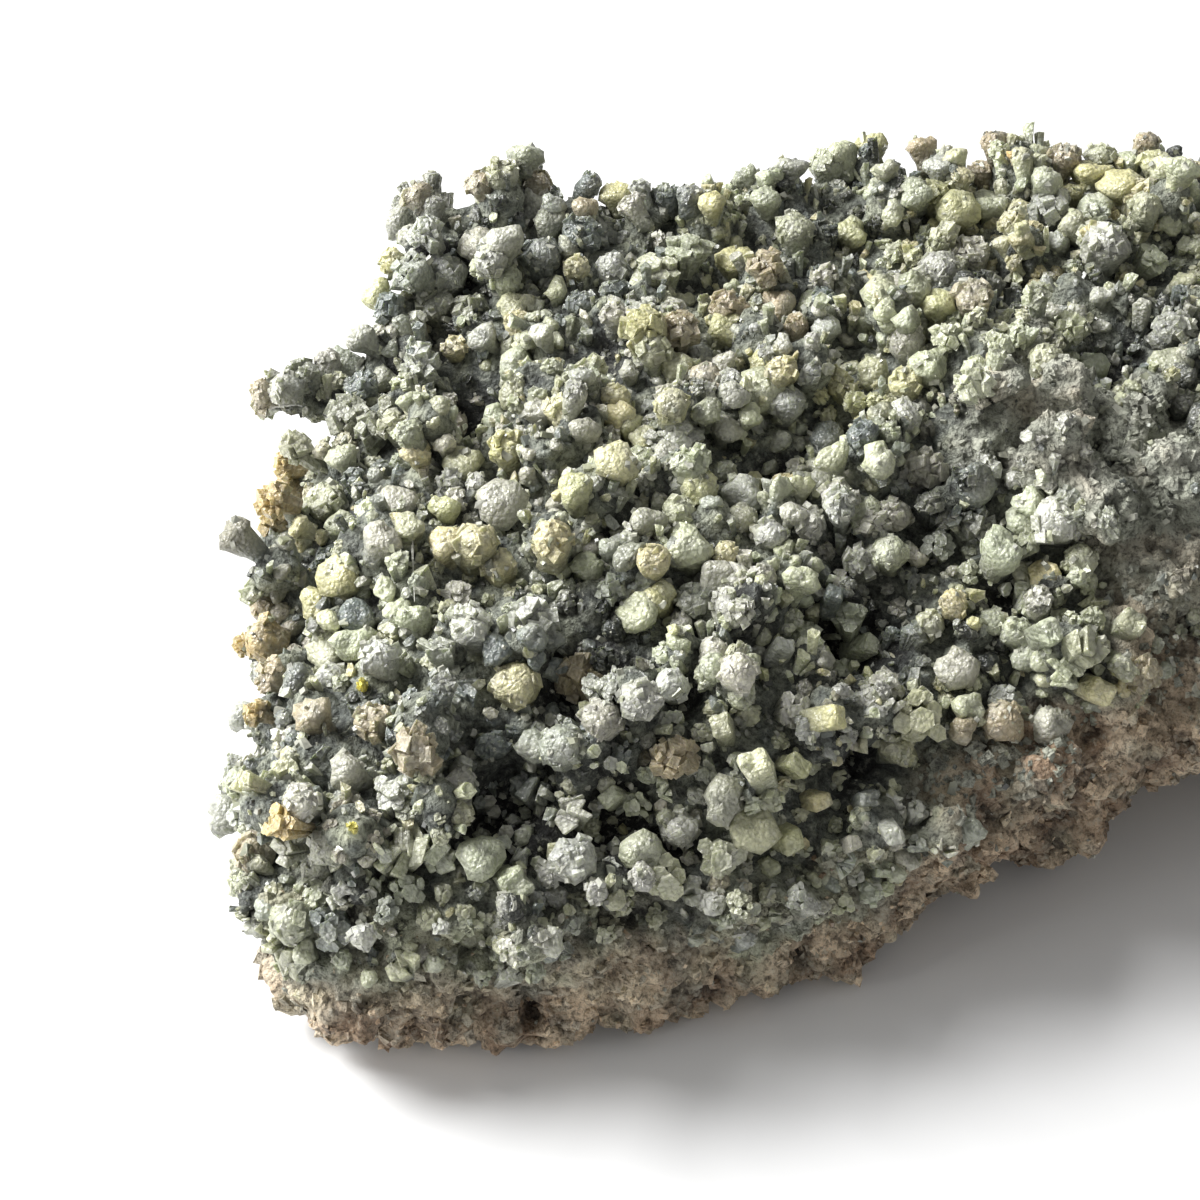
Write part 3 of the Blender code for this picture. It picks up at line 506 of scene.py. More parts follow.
def hollow_depth(places, tree):
    """How far the slab sinks at each place, in the hollows between the crystals."""
    depth = np.zeros(len(places))
    for px, py, reach, deep in HOLLOWS:
        seen, _ = seen_at(tree, px, py)
        out = np.array(tree.find_nearest(seen)[1])
        offset = places - np.array(seen)
        along = offset @ out
        aside = (offset ** 2).sum(1) - along ** 2
        near = np.exp(-aside / (reach * MM) ** 2) * (np.abs(along) < HOLLOW_SPAN)
        depth = np.maximum(depth, near * deep * MM)
    return depth


def rock_share(places, tree):
    """How far a place is bare rock in the crust, and how far the rock stands out there."""
    share = np.zeros(len(places))
    rise = np.zeros(len(places))
    for px, py, reach, bare, height in SWELLS:
        seen, _ = seen_at(tree, px, py)
        near = np.exp(-((places - np.array(seen)) ** 2).sum(1) / (reach * MM) ** 2)
        share = np.maximum(share, bare * smooth_step(0.2, 0.55, near))
        rise = np.maximum(rise, height * MM * near)
    return share, rise


def add_point_colours(mesh, name, colours):
    """Keeps a colour for each point of a mesh."""
    attribute = mesh.attributes.new(name, "FLOAT_COLOR", "POINT")
    rgba = np.ones((len(colours), 4), np.float32)
    rgba[:, :3] = colours
    attribute.data.foreach_set("color", rgba.ravel())


def ground_tone(x, y):
    """How pale, warm and dark the crust is at a plan place; some patches are painted shade or painted light.
    """
    point = Vector((x, y, 0))
    pale = 0.22 + 0.8 * noise.noise(point / 0.012)
    warm = 0.10 + 0.4 * noise.noise(point / 0.030 + Vector((7, 3, 1)))
    dark = 0.30 + 0.9 * noise.noise(point / 0.011 + Vector((1, 9, 4)))
    for px, py, reach, patch_pale, patch_warm, patch_dark in PATCHES:
        near = math.exp(-((x / MM - px) ** 2 + (y / MM - py) ** 2) / reach**2)
        pale += (patch_pale - pale) * near
        warm += (patch_warm - warm) * near
        dark += (patch_dark - dark) * near
    return (min(1.0, max(0.0, v)) for v in (pale, warm, dark))


def cluster_colours(x, y, rng):
    """Root and head colours of the crystals that grew together at a plan place; the darker roots are partly
    painted shade at the crystals' feet.
    """
    pale, warm, dark = ground_tone(x, y)
    draw = rng.random()
    if draw < pale * 0.8:
        head = rng.choice((CREAM, CREAM, YELLOW_GREEN)) if rng.random() < 0.2 + warm * 0.5 else PALE_GREEN
        root = rng.choice((SAGE, GREY_GREEN))
    elif draw < 1 - dark * 0.75:
        head = rng.choice((PALE_GREEN, SAGE, SAGE, ASH, ASH, GREY_GREEN))
        root = rng.choice((GREY_GREEN, SLATE))
    else:
        head = rng.choice((SLATE, SLATE, CHARCOAL))
        root = rng.choice((SLATE, CHARCOAL))
    if rng.random() < warm * 0.5:
        head = tuple(a + (b - a) * 0.4 for a, b in zip(head, TAN))
    return linear(root), linear(head)


def varied(colour, rng, spread=0.14):
    """The same colour a little lighter or darker, warmer or cooler."""
    light = 1 + rng.uniform(-spread, spread)
    warmth = rng.uniform(-0.04, 0.04)
    return colour * light * np.array((1 + warmth, 1, 1 - warmth))


# Crystals' templates have their root at z 0, their head's middle at z length, and a radius of about 1.
FINGER_SIDES = 12
FINGER_RINGS = 10
ROUGH_RINGS = 7


def lumpy_column(bm, rng, rings, length, waist, lobes, lobe_height, roughness):
    """A column that flares from its root to a blunt head of a few lobes."""
    made = bmesh.ops.create_uvsphere(bm, u_segments=FINGER_SIDES, v_segments=rings, radius=1)["verts"]
    seed = Vector((rng.uniform(0, 50), rng.uniform(0, 50), rng.uniform(0, 50)))
    flutes = rng.choice((4, 5, 6))
    phase = rng.uniform(0, math.tau)
    blunt = rng.uniform(0.6, 0.9)
    tops = []
    for i in range(lobes):
        turn = i * 2.4 + rng.uniform(-0.5, 0.5)
        tops.append(Vector((math.cos(turn), math.sin(turn), rng.uniform(0.2, 1.4))).normalized())
    for v in made:
        angle = math.atan2(v.co.y, v.co.x)
        unit = v.co.normalized()
        down = max(0.0, -v.co.z)
        wide = 1 + 0.05 * math.cos(flutes * angle + phase) + 0.12 * noise.noise(v.co * 1.3 + seed)
        lobe = max(smooth_step(0.55, 1.0, unit.dot(top)) for top in tops)
        if v.co.z < 0:
            wide *= (1 - (1 - waist) * min(1.0, 1.6 * down)) / max(0.25, math.sqrt(1 - min(down, 0.97) ** 2))
            v.co.z *= length
        else:
            v.co.z *= blunt
        v.co.x *= wide
        v.co.y *= wide
        v.co += unit * lobe * lobe_height
        v.co += unit * roughness * noise.noise(v.co * 4.2 + seed)
        v.co.z += length
    for face in {f for v in made for f in v.link_faces}:
        face.smooth = True


def finger_shape(rng, length):
    """A smooth waxy finger with a knuckled head."""
    bm = bmesh.new()
    lumpy_column(bm, rng, FINGER_RINGS, length, rng.uniform(0.5, 0.75), rng.choice((3, 4, 5)), 0.36, 0.26)
    return bm


def sprinkle(bm, middle, reach, count, size, rng, lowest):
    """Small tilted crystals over a round head, down to the lowest height given."""
    for i in range(count):
        up = 1 - (1 - lowest) * (i + 0.5) / count
        turn = i * 2.39996 + rng.uniform(-0.5, 0.5)
        flat = math.sqrt(max(0.0, 1 - up * up))
        out = Vector((flat * math.cos(turn), flat * math.sin(turn), up))
        made = bmesh.ops.create_cube(bm, size=size * rng.uniform(0.6, 1.35))["verts"]
        tilt = out.to_track_quat("Z", "Y").to_matrix().to_4x4()
        tilt = tilt @ Matrix.Rotation(rng.uniform(0, math.tau), 4, "Z")
        tilt = tilt @ Matrix.Rotation(rng.uniform(-0.8, 0.8), 4, "X")
        stretch = Matrix.Diagonal((1, rng.uniform(0.6, 1), rng.uniform(0.7, 1.15), 1))
        side = Vector((out.x * reach, out.y * reach, out.z * reach * 0.85))
        place = middle + side * rng.uniform(0.93, 1.05)
        bmesh.ops.transform(bm, verts=made, matrix=Matrix.Translation(place) @ tilt @ stretch)


def rough_shape(rng, length):
    """A column whose head is crusted with small crystals."""
    bm = bmesh.new()
    lumpy_column(bm, rng, ROUGH_RINGS, length, rng.uniform(0.55, 0.8), 3, 0.15, 0.2)
    sprinkle(bm, Vector((0, 0, length)), 0.90, 14, 0.48, rng, lowest=0.0)
    return bm


def knob_shape(rng, length):
    """A knob made up of small crystals, on a short stalk."""
    bm = bmesh.new()
    made = bmesh.ops.create_cone(bm, cap_ends=True, segments=8, radius1=0.5, radius2=0.85,
                                 depth=length)["verts"]
    bmesh.ops.translate(bm, verts=made, vec=(0, 0, length / 2))
    bmesh.ops.create_icosphere(bm, subdivisions=1, radius=0.9, matrix=Matrix.Translation((0, 0, length)))
    sprinkle(bm, Vector((0, 0, length)), 0.86, 16, 0.62, rng, lowest=-0.3)
    return bm


def prism(bm, foot, turn, splay, radius, depth, rng):
    """A leaning six-sided prism whose top is a smaller flat face."""
    made = bmesh.ops.create_cone(bm, cap_ends=True, segments=6, radius1=radius * 0.6, radius2=radius,
                                 depth=depth)["verts"]
    bmesh.ops.rotate(bm, verts=made, matrix=Matrix.Rotation(rng.uniform(0, 1), 3, "Z"))
    for v in made:
        if v.co.z > 0:
            v.co.z += rng.uniform(-0.12, 0.12) * radius
    lean = Matrix.Rotation(turn, 4, "Z") @ Matrix.Rotation(splay, 4, "Y")
    stand = Matrix.Translation((0, 0, depth / 2))
    bmesh.ops.transform(bm, verts=made, matrix=Matrix.Translation(foot) @ lean @ stand)


def sheaf_shape(rng, length):
    """Prisms that spread from one root, as in half of a bow tie."""
    bm = bmesh.new()
    prism(bm, Vector((0, 0, 0)), 0, 0, 0.5, length + 0.75, rng)
    for i in range(9):
        turn = i * math.tau / 9 + rng.uniform(-0.25, 0.25)
        foot = Vector((0.26 * math.cos(turn), 0.26 * math.sin(turn), 0))
        depth = length + rng.uniform(0.2, 0.65)
        splay = rng.uniform(0.10, 0.42) / math.sqrt(length)
        prism(bm, foot, turn, splay, rng.uniform(0.30, 0.44), depth, rng)
    return bm


def block_shape(rng, length):
    """A single barrel-sided crystal with flat ends and worn edges."""
    bm = bmesh.new()
    tall = length + 0.8
    bmesh.ops.create_cube(bm, size=1)
    bmesh.ops.subdivide_edges(bm, edges=bm.edges, cuts=1, use_grid_fill=True)
    bmesh.ops.scale(bm, verts=bm.verts, vec=(1.6, rng.uniform(1.2, 1.6), tall))
    for v in bm.verts:
        bulge = 1 + 0.12 * (1 - (2 * v.co.z / tall) ** 2)
        v.co.x *= bulge * rng.uniform(0.95, 1.05)
        v.co.y *= bulge * rng.uniform(0.95, 1.05)
        v.co.z += tall / 2 + rng.uniform(-0.05, 0.05)
    sharp = [e for e in bm.edges if e.calc_face_angle(0) > 0.8]
    bmesh.ops.bevel(bm, geom=sharp, offset=0.3, segments=2, profile=0.5, affect="EDGES", material=-1)
    return bm


def fan_shape(rng, length):
    """Ragged blades that cross and open like a fan."""
    bm = bmesh.new()
    for i in range(5):
        made = bmesh.ops.create_cube(bm, size=1)["verts"]
        size = (rng.uniform(0.9, 1.5), rng.uniform(0.4, 0.7), length + rng.uniform(-0.1, 0.7))
        bmesh.ops.scale(bm, verts=made, vec=size)
        for v in made:
            if v.co.z < 0:
                v.co.x *= 0.5
            v.co += Vector((rng.uniform(-0.15, 0.15), rng.uniform(-0.15, 0.15), rng.uniform(-0.3, 0.3)))
        turn = Matrix.Rotation(rng.uniform(-0.8, 0.8), 4, "Z") @ Matrix.Rotation((i - 2) * 0.2, 4, "X")
        stand = Matrix.Translation((rng.uniform(-0.4, 0.4), 0, length / 2))
        bmesh.ops.transform(bm, verts=made, matrix=turn @ stand)
    bmesh.ops.bevel(bm, geom=bm.edges[:], offset=0.08, segments=1, profile=0.5, affect="EDGES", material=-1)
    return bm


def grain_shape(rng):
    """One sugary grain: a short prism with a wedge end."""
    bm = bmesh.new()
    bmesh.ops.create_cube(bm, size=1)
    for v in bm.verts:
        if v.co.z > 0:
            v.co.x *= rng.uniform(0.4, 0.9)
            v.co.y *= rng.uniform(0.5, 1.0)
    return bm


def lath_shape(rng):
    """A slim six-sided crystal with an uneven end."""
    bm = bmesh.new()
    bmesh.ops.create_cone(bm, cap_ends=True, segments=6, radius1=0.6, radius2=rng.uniform(0.75, 1), depth=1)
    for v in bm.verts:
        v.co.z += 0.5
        if v.co.z > 0.5:
            v.co.z += rng.uniform(-0.16, 0.08)
    return bm


def crumb_shape(rng):
    """One angular crumb of rock."""
    bm = bmesh.new()
    bmesh.ops.create_cube(bm, size=1)
    for v in bm.verts:
        v.co += Vector([rng.uniform(-0.18, 0.18) for _ in range(3)])
    return bm


def from_lowest(corners):
    """A face's corners, starting at the lowest, so that each run splits the face alike."""
    first = corners.index(min(corners))
    return corners[first:] + corners[:first]


def as_arrays(bm):
    """A template as arrays: points, how far up its head each is, corners, corners per face, smoothness."""
    bm.verts.index_update()
    points = np.array([v.co for v in bm.verts])
    rise = np.clip(points[:, 2] / points[:, 2].max(), 0, 1)
    faces = sorted((from_lowest([v.index for v in f.verts]), not f.smooth) for f in bm.faces)
    corners = np.array([i for face, _ in faces for i in face])
    sizes = np.array([len(face) for face, _ in faces])
    sharp = np.array([flat for _, flat in faces])
    bm.free()
    return points, rise, corners, sizes, sharp


COARSE_WOBBLE = (0.00030, 0.0019)
FINE_WOBBLE = (0.00011, 0.0006)


def wobbled(places):
    """The places pushed about a little, so that no two copies of a shape are alike."""
    moved = places.copy()
    for i, place in enumerate(places):
        point = Vector(place)
        for reach, size in (COARSE_WOBBLE, FINE_WOBBLE):
            moved[i] += noise.noise_vector(point / size) * reach
    moved[:, 2] = np.maximum(moved[:, 2], 0.0)
    return moved


def weathered(places, colours, rises):
    """The crystals' colours with clouds, dark grime and frosted tips worked in; the frost on the tips is
    partly painted highlight.
    """
    aged = colours.copy()
    frost_and_highlight_colour = linear(FROST)
    grime = linear(CHARCOAL)
    for i, place in enumerate(places):
        point = Vector(place)
        cloud = 1 + 0.3 * noise.noise(point / 0.0013)
        spots = step_up(-0.1, 0.4, noise.noise(point / 0.0011))
        dirt = step_up(0.0, 0.45, noise.noise(point / 0.0060 + GRIME_SHIFT)) * spots
        # Frost on the crystals' tips: partly a whitish frosting, partly painted highlight where light falls
        # on them.
        frost_and_highlight = step_up(0.0, 0.4, noise.noise(point / 0.0034 + FROST_AND_HIGHLIGHT_SHIFT)) * step_up(0.4, 0.95, rises[i])
        aged[i] = aged[i] * cloud
        aged[i] += (frost_and_highlight_colour - aged[i]) * 0.45 * frost_and_highlight
        aged[i] += (grime - aged[i]) * 0.65 * dirt
    return aged


def joined_mesh(name, stamps):
    """One mesh of many stamped copies. A stamp is (template, matrix, root colour, head colour)."""
    points, colours, rises, corners, sizes, sharps = [], [], [], [], [], []
    start = 0
    for (shape, rise, shape_corners, shape_sizes, sharp), matrix, root, head in stamps:
        # From root colour to head colour: the darker roots are partly the crystals' own grey and partly
        # painted shade where they meet the bed.
        mix = smooth_step(0.1, 0.85, rise)[:, None]
        points.append(shape @ matrix[:3, :3].T + matrix[:3, 3])
        colours.append(root * (1 - mix) + head * mix)
        rises.append(rise)
        corners.append(shape_corners + start)
        sizes.append(shape_sizes)
        sharps.append(sharp)
        start += len(shape)
    sizes = np.concatenate(sizes)
    corners = np.concatenate(corners)
    mesh = bpy.data.meshes.new(name)
    mesh.vertices.add(start)
    places = wobbled(np.concatenate(points))
    rises = np.concatenate(rises)
    mesh.vertices.foreach_set("co", places.astype(np.float32).ravel())
    mesh.loops.add(len(corners))
    mesh.loops.foreach_set("vertex_index", corners.astype(np.int32))
    mesh.polygons.add(len(sizes))
    mesh.polygons.foreach_set("loop_start", (np.cumsum(sizes) - sizes).astype(np.int32))
    mesh.update(calc_edges=True)
    sharp_face = mesh.attributes.new("sharp_face", "BOOLEAN", "FACE")
    sharp_face.data.foreach_set("value", np.concatenate(sharps))
    add_point_colours(mesh, "tint", weathered(places, np.concatenate(colours), rises))
    mesh.validate()
    return mesh


def matrix_at(foot, direction, spin, scale):
    """Where a template goes: its root at the foot, its axis along the direction."""
    turn = Vector(direction).normalized().to_track_quat("Z", "Y").to_matrix().to_4x4()
    sized = Matrix.Diagonal((*scale, 1))
    return np.array(Matrix.Translation(foot) @ turn @ Matrix.Rotation(spin, 4, "Z") @ sized)


def left_and_right(name, stamps):
    """The stamps as two pieces, so that neither is too heavy."""
    ordered = sorted(stamps, key=lambda stamp: stamp[1][0, 3])
    half = len(ordered) // 2
    return [(name + "_left", ordered[:half]), (name + "_right", ordered[half:])]


class Spacing:
    """Keeps things apart: it holds the places taken, sorted into cells."""

    def __init__(self, cell):
        self.cell = cell
        self.cells = {}

    def key(self, place):
        return tuple(int(c // self.cell) for c in place)

    def clear(self, place, radius, packing):
        i, j, k = self.key(place)
        for a in range(i - 1, i + 2):
            for b in range(j - 1, j + 2):
                for c in range(k - 1, k + 2):
                    for other, other_radius in self.cells.get((a, b, c), ()):
                        gap = (other[0] - place[0]) ** 2 + (other[1] - place[1]) ** 2
                        gap += (other[2] - place[2]) ** 2
                        if gap < ((radius + other_radius) * packing) ** 2:
                            return False
        return True

    def take(self, place, radius):
        self.cells.setdefault(self.key(place), []).append((place, radius))


class Nodes:
    """Short calls that add and link shader nodes."""

    def __init__(self, name):
        self.material = bpy.data.materials.new(name)
        self.material.use_nodes = True
        self.tree = self.material.node_tree
        self.shader = self.tree.nodes["Principled BSDF"]

    def add(self, kind, **inputs):
        node = self.tree.nodes.new(kind)
        for name, value in inputs.items():
            self.put(node.inputs[name.replace("_", " ")], value)
        return node

    def put(self, socket, value):
        if isinstance(value, bpy.types.NodeSocket):
            self.tree.links.new(value, socket)
        else:
            socket.default_value = value

    def attribute(self, name, output):
        node = self.tree.nodes.new("ShaderNodeAttribute")
        node.attribute_name = name
        return node.outputs[output]

    def place(self):
        return self.tree.nodes.new("ShaderNodeTexCoord").outputs["Object"]

    def noise(self, size, detail=3.0, rough=0.55):
        """Noise whose lumps are about the given size in metres."""
        node = self.add("ShaderNodeTexNoise", Vector=self.place(), Scale=1 / size, Detail=detail,
                        Roughness=rough)
        return node.outputs["Fac"]

    def cells(self, size):
        """Distance to the nearest of cells of about the given size in metres."""
        return self.add("ShaderNodeTexVoronoi", Vector=self.place(), Scale=1 / size).outputs["Distance"]

    def ramp(self, value, low, high, to_low=0.0, to_high=1.0):
        node = self.add("ShaderNodeMapRange", Value=value, From_Min=low, From_Max=high, To_Min=to_low,
                        To_Max=to_high)
        return node.outputs["Result"]

    def mix(self, share, a, b, blend="MIX"):
        node = self.tree.nodes.new("ShaderNodeMix")
        node.data_type = "RGBA"
        node.blend_type = blend
        self.put(node.inputs[0], share)
        self.put(node.inputs[6], a)
        self.put(node.inputs[7], b)
        return node.outputs[2]

    def maths(self, operation, a, b=0.0):
        node = self.tree.nodes.new("ShaderNodeMath")
        node.operation = operation
        self.put(node.inputs[0], a)
        self.put(node.inputs[1], b)
        return node.outputs[0]

    def bump(self, height, distance, strength):
        node = self.add("ShaderNodeBump", Height=height, Distance=distance, Strength=strength)
        return node.outputs["Normal"]

    def finish(self, **inputs):
        for name, value in inputs.items():
            self.put(self.shader.inputs[name.replace("_", " ")], value)
        return self.material


def with_alpha(colour):
    """A colour as a shader socket takes it."""
    return (*colour, 1.0)


def waxy_prehnite():
    """Translucent waxy crystals with a grainy, lightly frosted skin, with painted shade in the seams between
    grains; the frost on the raised skin is partly painted highlight.
    """
    n = Nodes("waxy prehnite")
    skin = n.noise(0.00045, 2)
    grains = n.cells(0.00046)
    tint = n.attribute("tint", "Color")
    # Painted shade: the seams between grains, where the bump sinks, turn darker.
    colour = n.mix(n.ramp(grains, 0.45, 0.8, 0.0, 0.25), tint, with_alpha(linear(CHARCOAL)))
    # Frost on the raised skin, partly a whitish frosting and partly painted highlight.
    colour = n.mix(n.ramp(skin, 0.54, 0.68, 0.0, 0.3), colour, with_alpha(linear(FROST)))
    height = n.maths("SUBTRACT", skin, n.maths("MULTIPLY", grains, 0.7))
    return n.finish(Base_Color=colour, Roughness=n.ramp(skin, 0.35, 0.65, 0.5, 0.25), IOR=1.63,
                    Normal=n.bump(height, 0.00035, 0.75), Subsurface_Weight=0.3,
                    Subsurface_Radius=(0.9, 1.0, 0.6), Subsurface_Scale=0.0012)


def druse():
    """Small glittering crystals."""
    n = Nodes("druse")
    shade = n.noise(0.0006, 1)
    tint = n.attribute("tint", "Color")
    colour = n.mix(n.ramp(shade, 0.4, 0.7, 0.0, 0.5), tint, with_alpha(linear(CHARCOAL)))
    return n.finish(Base_Color=colour, Roughness=n.ramp(shade, 0.3, 0.7, 0.15, 0.45), IOR=1.63)


def slab_stone():
    """Brown matrix where it is bare, dark drusy ground between the crystals; painted shade darkens the low
    spots of the bump, and frost on the raised spots is partly painted highlight.
    """
    n = Nodes("slab stone")
    skin = n.noise(0.0008, 4, 0.72)
    grains = n.cells(0.0006)
    tint = n.attribute("tint", "Color")
    # Painted shade: black where the bump sinks.
    colour = n.mix(n.ramp(skin, 0.36, 0.52, 0.7, 0.0), tint, with_alpha(linear(BLACK)))
    # Frost where the bump rises, partly a whitish frosting and partly painted highlight.
    colour = n.mix(n.ramp(skin, 0.54, 0.66, 0.0, 0.4), colour, with_alpha(linear(FROST)))
    height = n.maths("SUBTRACT", skin, n.maths("MULTIPLY", grains, 0.4))
    return n.finish(Base_Color=colour, Roughness=n.ramp(skin, 0.3, 0.7, 0.9, 0.45),
                    Normal=n.bump(height, 0.0011, 1.0))


def blend(a, b, share):
    """Between two colours, from the first at 0 to the second at 1."""
    return a + (b - a) * share


def ground_colour(point, wall, rock, relief):
    """The slab's colour: drusy grey in the crust, brown and greenish where bare; painted shade darkens its
    pits, hollows and low relief, and painted light brightens its raised relief.
    """
    # high is how far the relief stands up; raised places get paler as painted light.
    high = step_up(-0.75, 0.55, relief)
    bed = blend(linear(SLATE), linear(SAGE), high * step_up(-0.5, 0.6, noise.noise(point / 0.0018)))
    patch = step_up(-0.3, 0.3, noise.fractal(point / 0.0050, 0.9, 2.1, 4))
    brown = blend(linear(EARTH), linear(BROWN), patch)
    level = point.z + 0.005 * noise.noise(point / 0.009) - 0.020 * step_up(-0.002, 0.012, point.x)
    spots = step_up(0.1, 0.4, noise.noise(point / 0.0042 + GRIME_SHIFT))
    green = step_up(0.0075, 0.0145, level) * 0.85 + 0.5 * spots
    brown = blend(brown, blend(linear(GREY_GREEN), linear(SAGE), patch), min(1.0, green))
    stain = 0.35 * step_up(0.1, 0.5, noise.noise(point / 0.005))
    grey = blend(blend(linear(GREY_GREEN), linear(FROST), patch * 0.85), linear(BROWN), stain)
    colour = blend(blend(bed, grey, rock), brown, wall)
    # Frost on raised bare places: partly a whitish frosting, partly painted highlight.
    frost_and_highlight = step_up(0.15, 0.5, noise.noise(point / 0.0026 + FROST_AND_HIGHLIGHT_SHIFT)) * high * max(rock, wall)
    colour = blend(colour, linear(FROST), 0.35 * frost_and_highlight)
    # Painted shade: black sinks into pits, hollows and low relief, and raised relief is lit up as painted
    # light.
    depth = 1 - step_up(-0.95, -0.1, relief)
    return blend(colour, linear(BLACK), 0.85 * depth) * (0.82 + 0.45 * high)


class PREHNITE_OT_slab(bpy.types.Operator):
    """Make the slab: brown matrix outside, a dark bed under the crystals"""

    bl_idname = "prehnite.slab"
    bl_label = "Make the slab"

    def execute(self, context):
        slab = settings().slab
        bed = rounded_solid(slab.bed_voxel, slab.bed_smoothing)
        finer = bed.modifiers.new("Finer", "SUBSURF")
        finer.levels = finer.render_levels = 1
        mesh = evaluated_mesh(bed)
        places, normals = vertex_arrays(mesh)
        broad_tree = broad_shape()
        broad = broad_normals(broad_tree, places)
        wall = matrix_share(places, broad)
        rocks, rock_rise = rock_share(places, broad_tree)
        behind = smooth_step(FRONT_EDGE - FRONT_BLEND, FRONT_EDGE + FRONT_BLEND, places[:, 1])
        wall = np.maximum(wall, rocks * (1 - behind))
        bare = np.maximum(wall, rocks)
        rough = slab.crust_relief * (1 - bare) + slab.matrix_relief * bare
        relief = np.zeros(len(places))
        moved = places + broad * (rock_rise - slab.crust_depth * (1 - bare))[:, None]
        for i, p in enumerate(places):
            point = Vector(p)
            wave = slab.crust_waves * (1 - bare[i]) * noise.noise(point / 0.0085)
            coarse = 0.6 * noise.fractal(point / 0.0065, 0.9, 2.1, 3)
            creases = 0.45 * (1.0 - noise.ridged_multi_fractal(point / 0.0040, 0.8, 2.3, 5, 1.0, 1.6))
            crumbs = 0.5 * (0.45 - noise.voronoi(point / 0.0014)[0][0])
            # Pits in the bare matrix sink the surface and lower the relief, which ground_colour paints as
            # shade.
            pit = max(0.0, 1 - noise.voronoi(point / 0.0052)[0][0] / 0.34) * bare[i]
            relief[i] = coarse + creases + crumbs - 1.1 * pit
            moved[i] += normals[i] * (wave + rough[i] * relief[i])
        depth = hollow_depth(places, broad_tree)
        moved -= broad * depth[:, None]
        # Hollows lower the relief too, so ground_colour paints shade into them.
        relief -= depth / HOLLOW_DARK
        moved[:, 2] = np.maximum(moved[:, 2], 0.0)
        resting = places[:, 2] < RESTING_BELOW
        moved[resting, 2] = np.minimum(moved[resting, 2], RESTING_LIFT)
        mesh.vertices.foreach_set("co", moved.ravel())
        tints = [ground_colour(Vector(p), *where) for p, where in zip(moved, zip(wall, rocks, relief))]
        add_point_colours(mesh, "tint", np.array(tints))
        piece = place_in_scene(mesh, "slab", slab_stone())
        thin = piece.modifiers.new("Fewer faces", "DECIMATE")
        triangles = sum(len(p.vertices) - 2 for p in mesh.polygons)
        thin.ratio = min(1.0, slab.faces / triangles)
        mesh.shade_smooth()
        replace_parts(piece, NODE)
        return {"FINISHED"}


def surface_tree(obj):
    """A search tree over an object's faces."""
    bm = bmesh.new()
    bm.from_mesh(obj.data)
    tree = BVHTree.FromBMesh(bm)
    bm.free()
    return tree


def surface_arrays(obj):
    """Middles, normals and areas of an object's faces."""
    mesh = obj.data
    count = len(mesh.polygons)
    middles, normals, areas = np.empty(count * 3), np.empty(count * 3), np.empty(count)
    mesh.polygons.foreach_get("center", middles)
    mesh.polygons.foreach_get("normal", normals)
    mesh.polygons.foreach_get("area", areas)
    return middles.reshape(-1, 3), normals.reshape(-1, 3), areas


LENGTHS = (1.3, 1.7, 2.2, 2.8)
GREATEST_LENGTH = 0.0056
GREATEST_SIZE = 0.0019
EMPTY_HOLLOW = 0.0016
EMPTINESS = 0.85


def crystal_templates(rng):
    """All shapes of each kind of crystal, by kind, from short to long."""
    makers = {"finger": finger_shape, "rough": rough_shape, "knob": knob_shape, "sheaf": sheaf_shape,
              "block": block_shape, "fan": fan_shape}
    return {kind: [[as_arrays(make(rng, length)) for _ in range(3)] for length in LENGTHS]
            for kind, make in makers.items()}


PIECES = (("waxy_fingers", ("finger",)), ("drusy_knobs", ("knob",)),
          ("blocks_and_sheaves", ("sheaf", "block", "fan")))

# What a cluster is mostly made of, and what else grows among it.
HABITS = [
    ("finger", ("finger", "rough", "knob")), ("finger", ("finger", "finger", "rough")),
    ("rough", ("rough", "knob", "finger")), ("rough", ("rough", "finger", "knob")),
    ("knob", ("knob", "knob", "rough")), ("knob", ("rough", "knob", "sheaf")),
    ("sheaf", ("sheaf", "rough", "finger")),
]
BLOCKY_HABITS = [
    ("sheaf", ("block", "rough", "finger")), ("rough", ("sheaf", "fan", "block")),
    ("finger", ("block", "rough")),
]
BLOCKY_EDGE = -0.016
RAGGED_HABITS = [
    ("fan", ("sheaf", "fan", "block")), ("sheaf", ("fan", "rough")), ("rough", ("sheaf", "fan")),
]
RAGGED_EDGE = -0.029
FRINGE = ("sheaf", "fan", "sheaf", "finger", "rough")
FRINGE_LOW = 0.0130
FRINGE_RISE = 0.012
FRINGE_RADIUS = 0.0012
LOWEST_CRYSTAL = 0.011
CLUSTER_REACH = 0.0046
ROOT_DEPTH = 0.0015
LATH_DEPTH = 0.0006
LATH_RIM = 0.75


def fringe_foot(place):
    """How low the ragged columns stand on the broken wall: higher on the right."""
    return FRINGE_LOW + FRINGE_RISE * step_up(-0.002, 0.016, place.x)


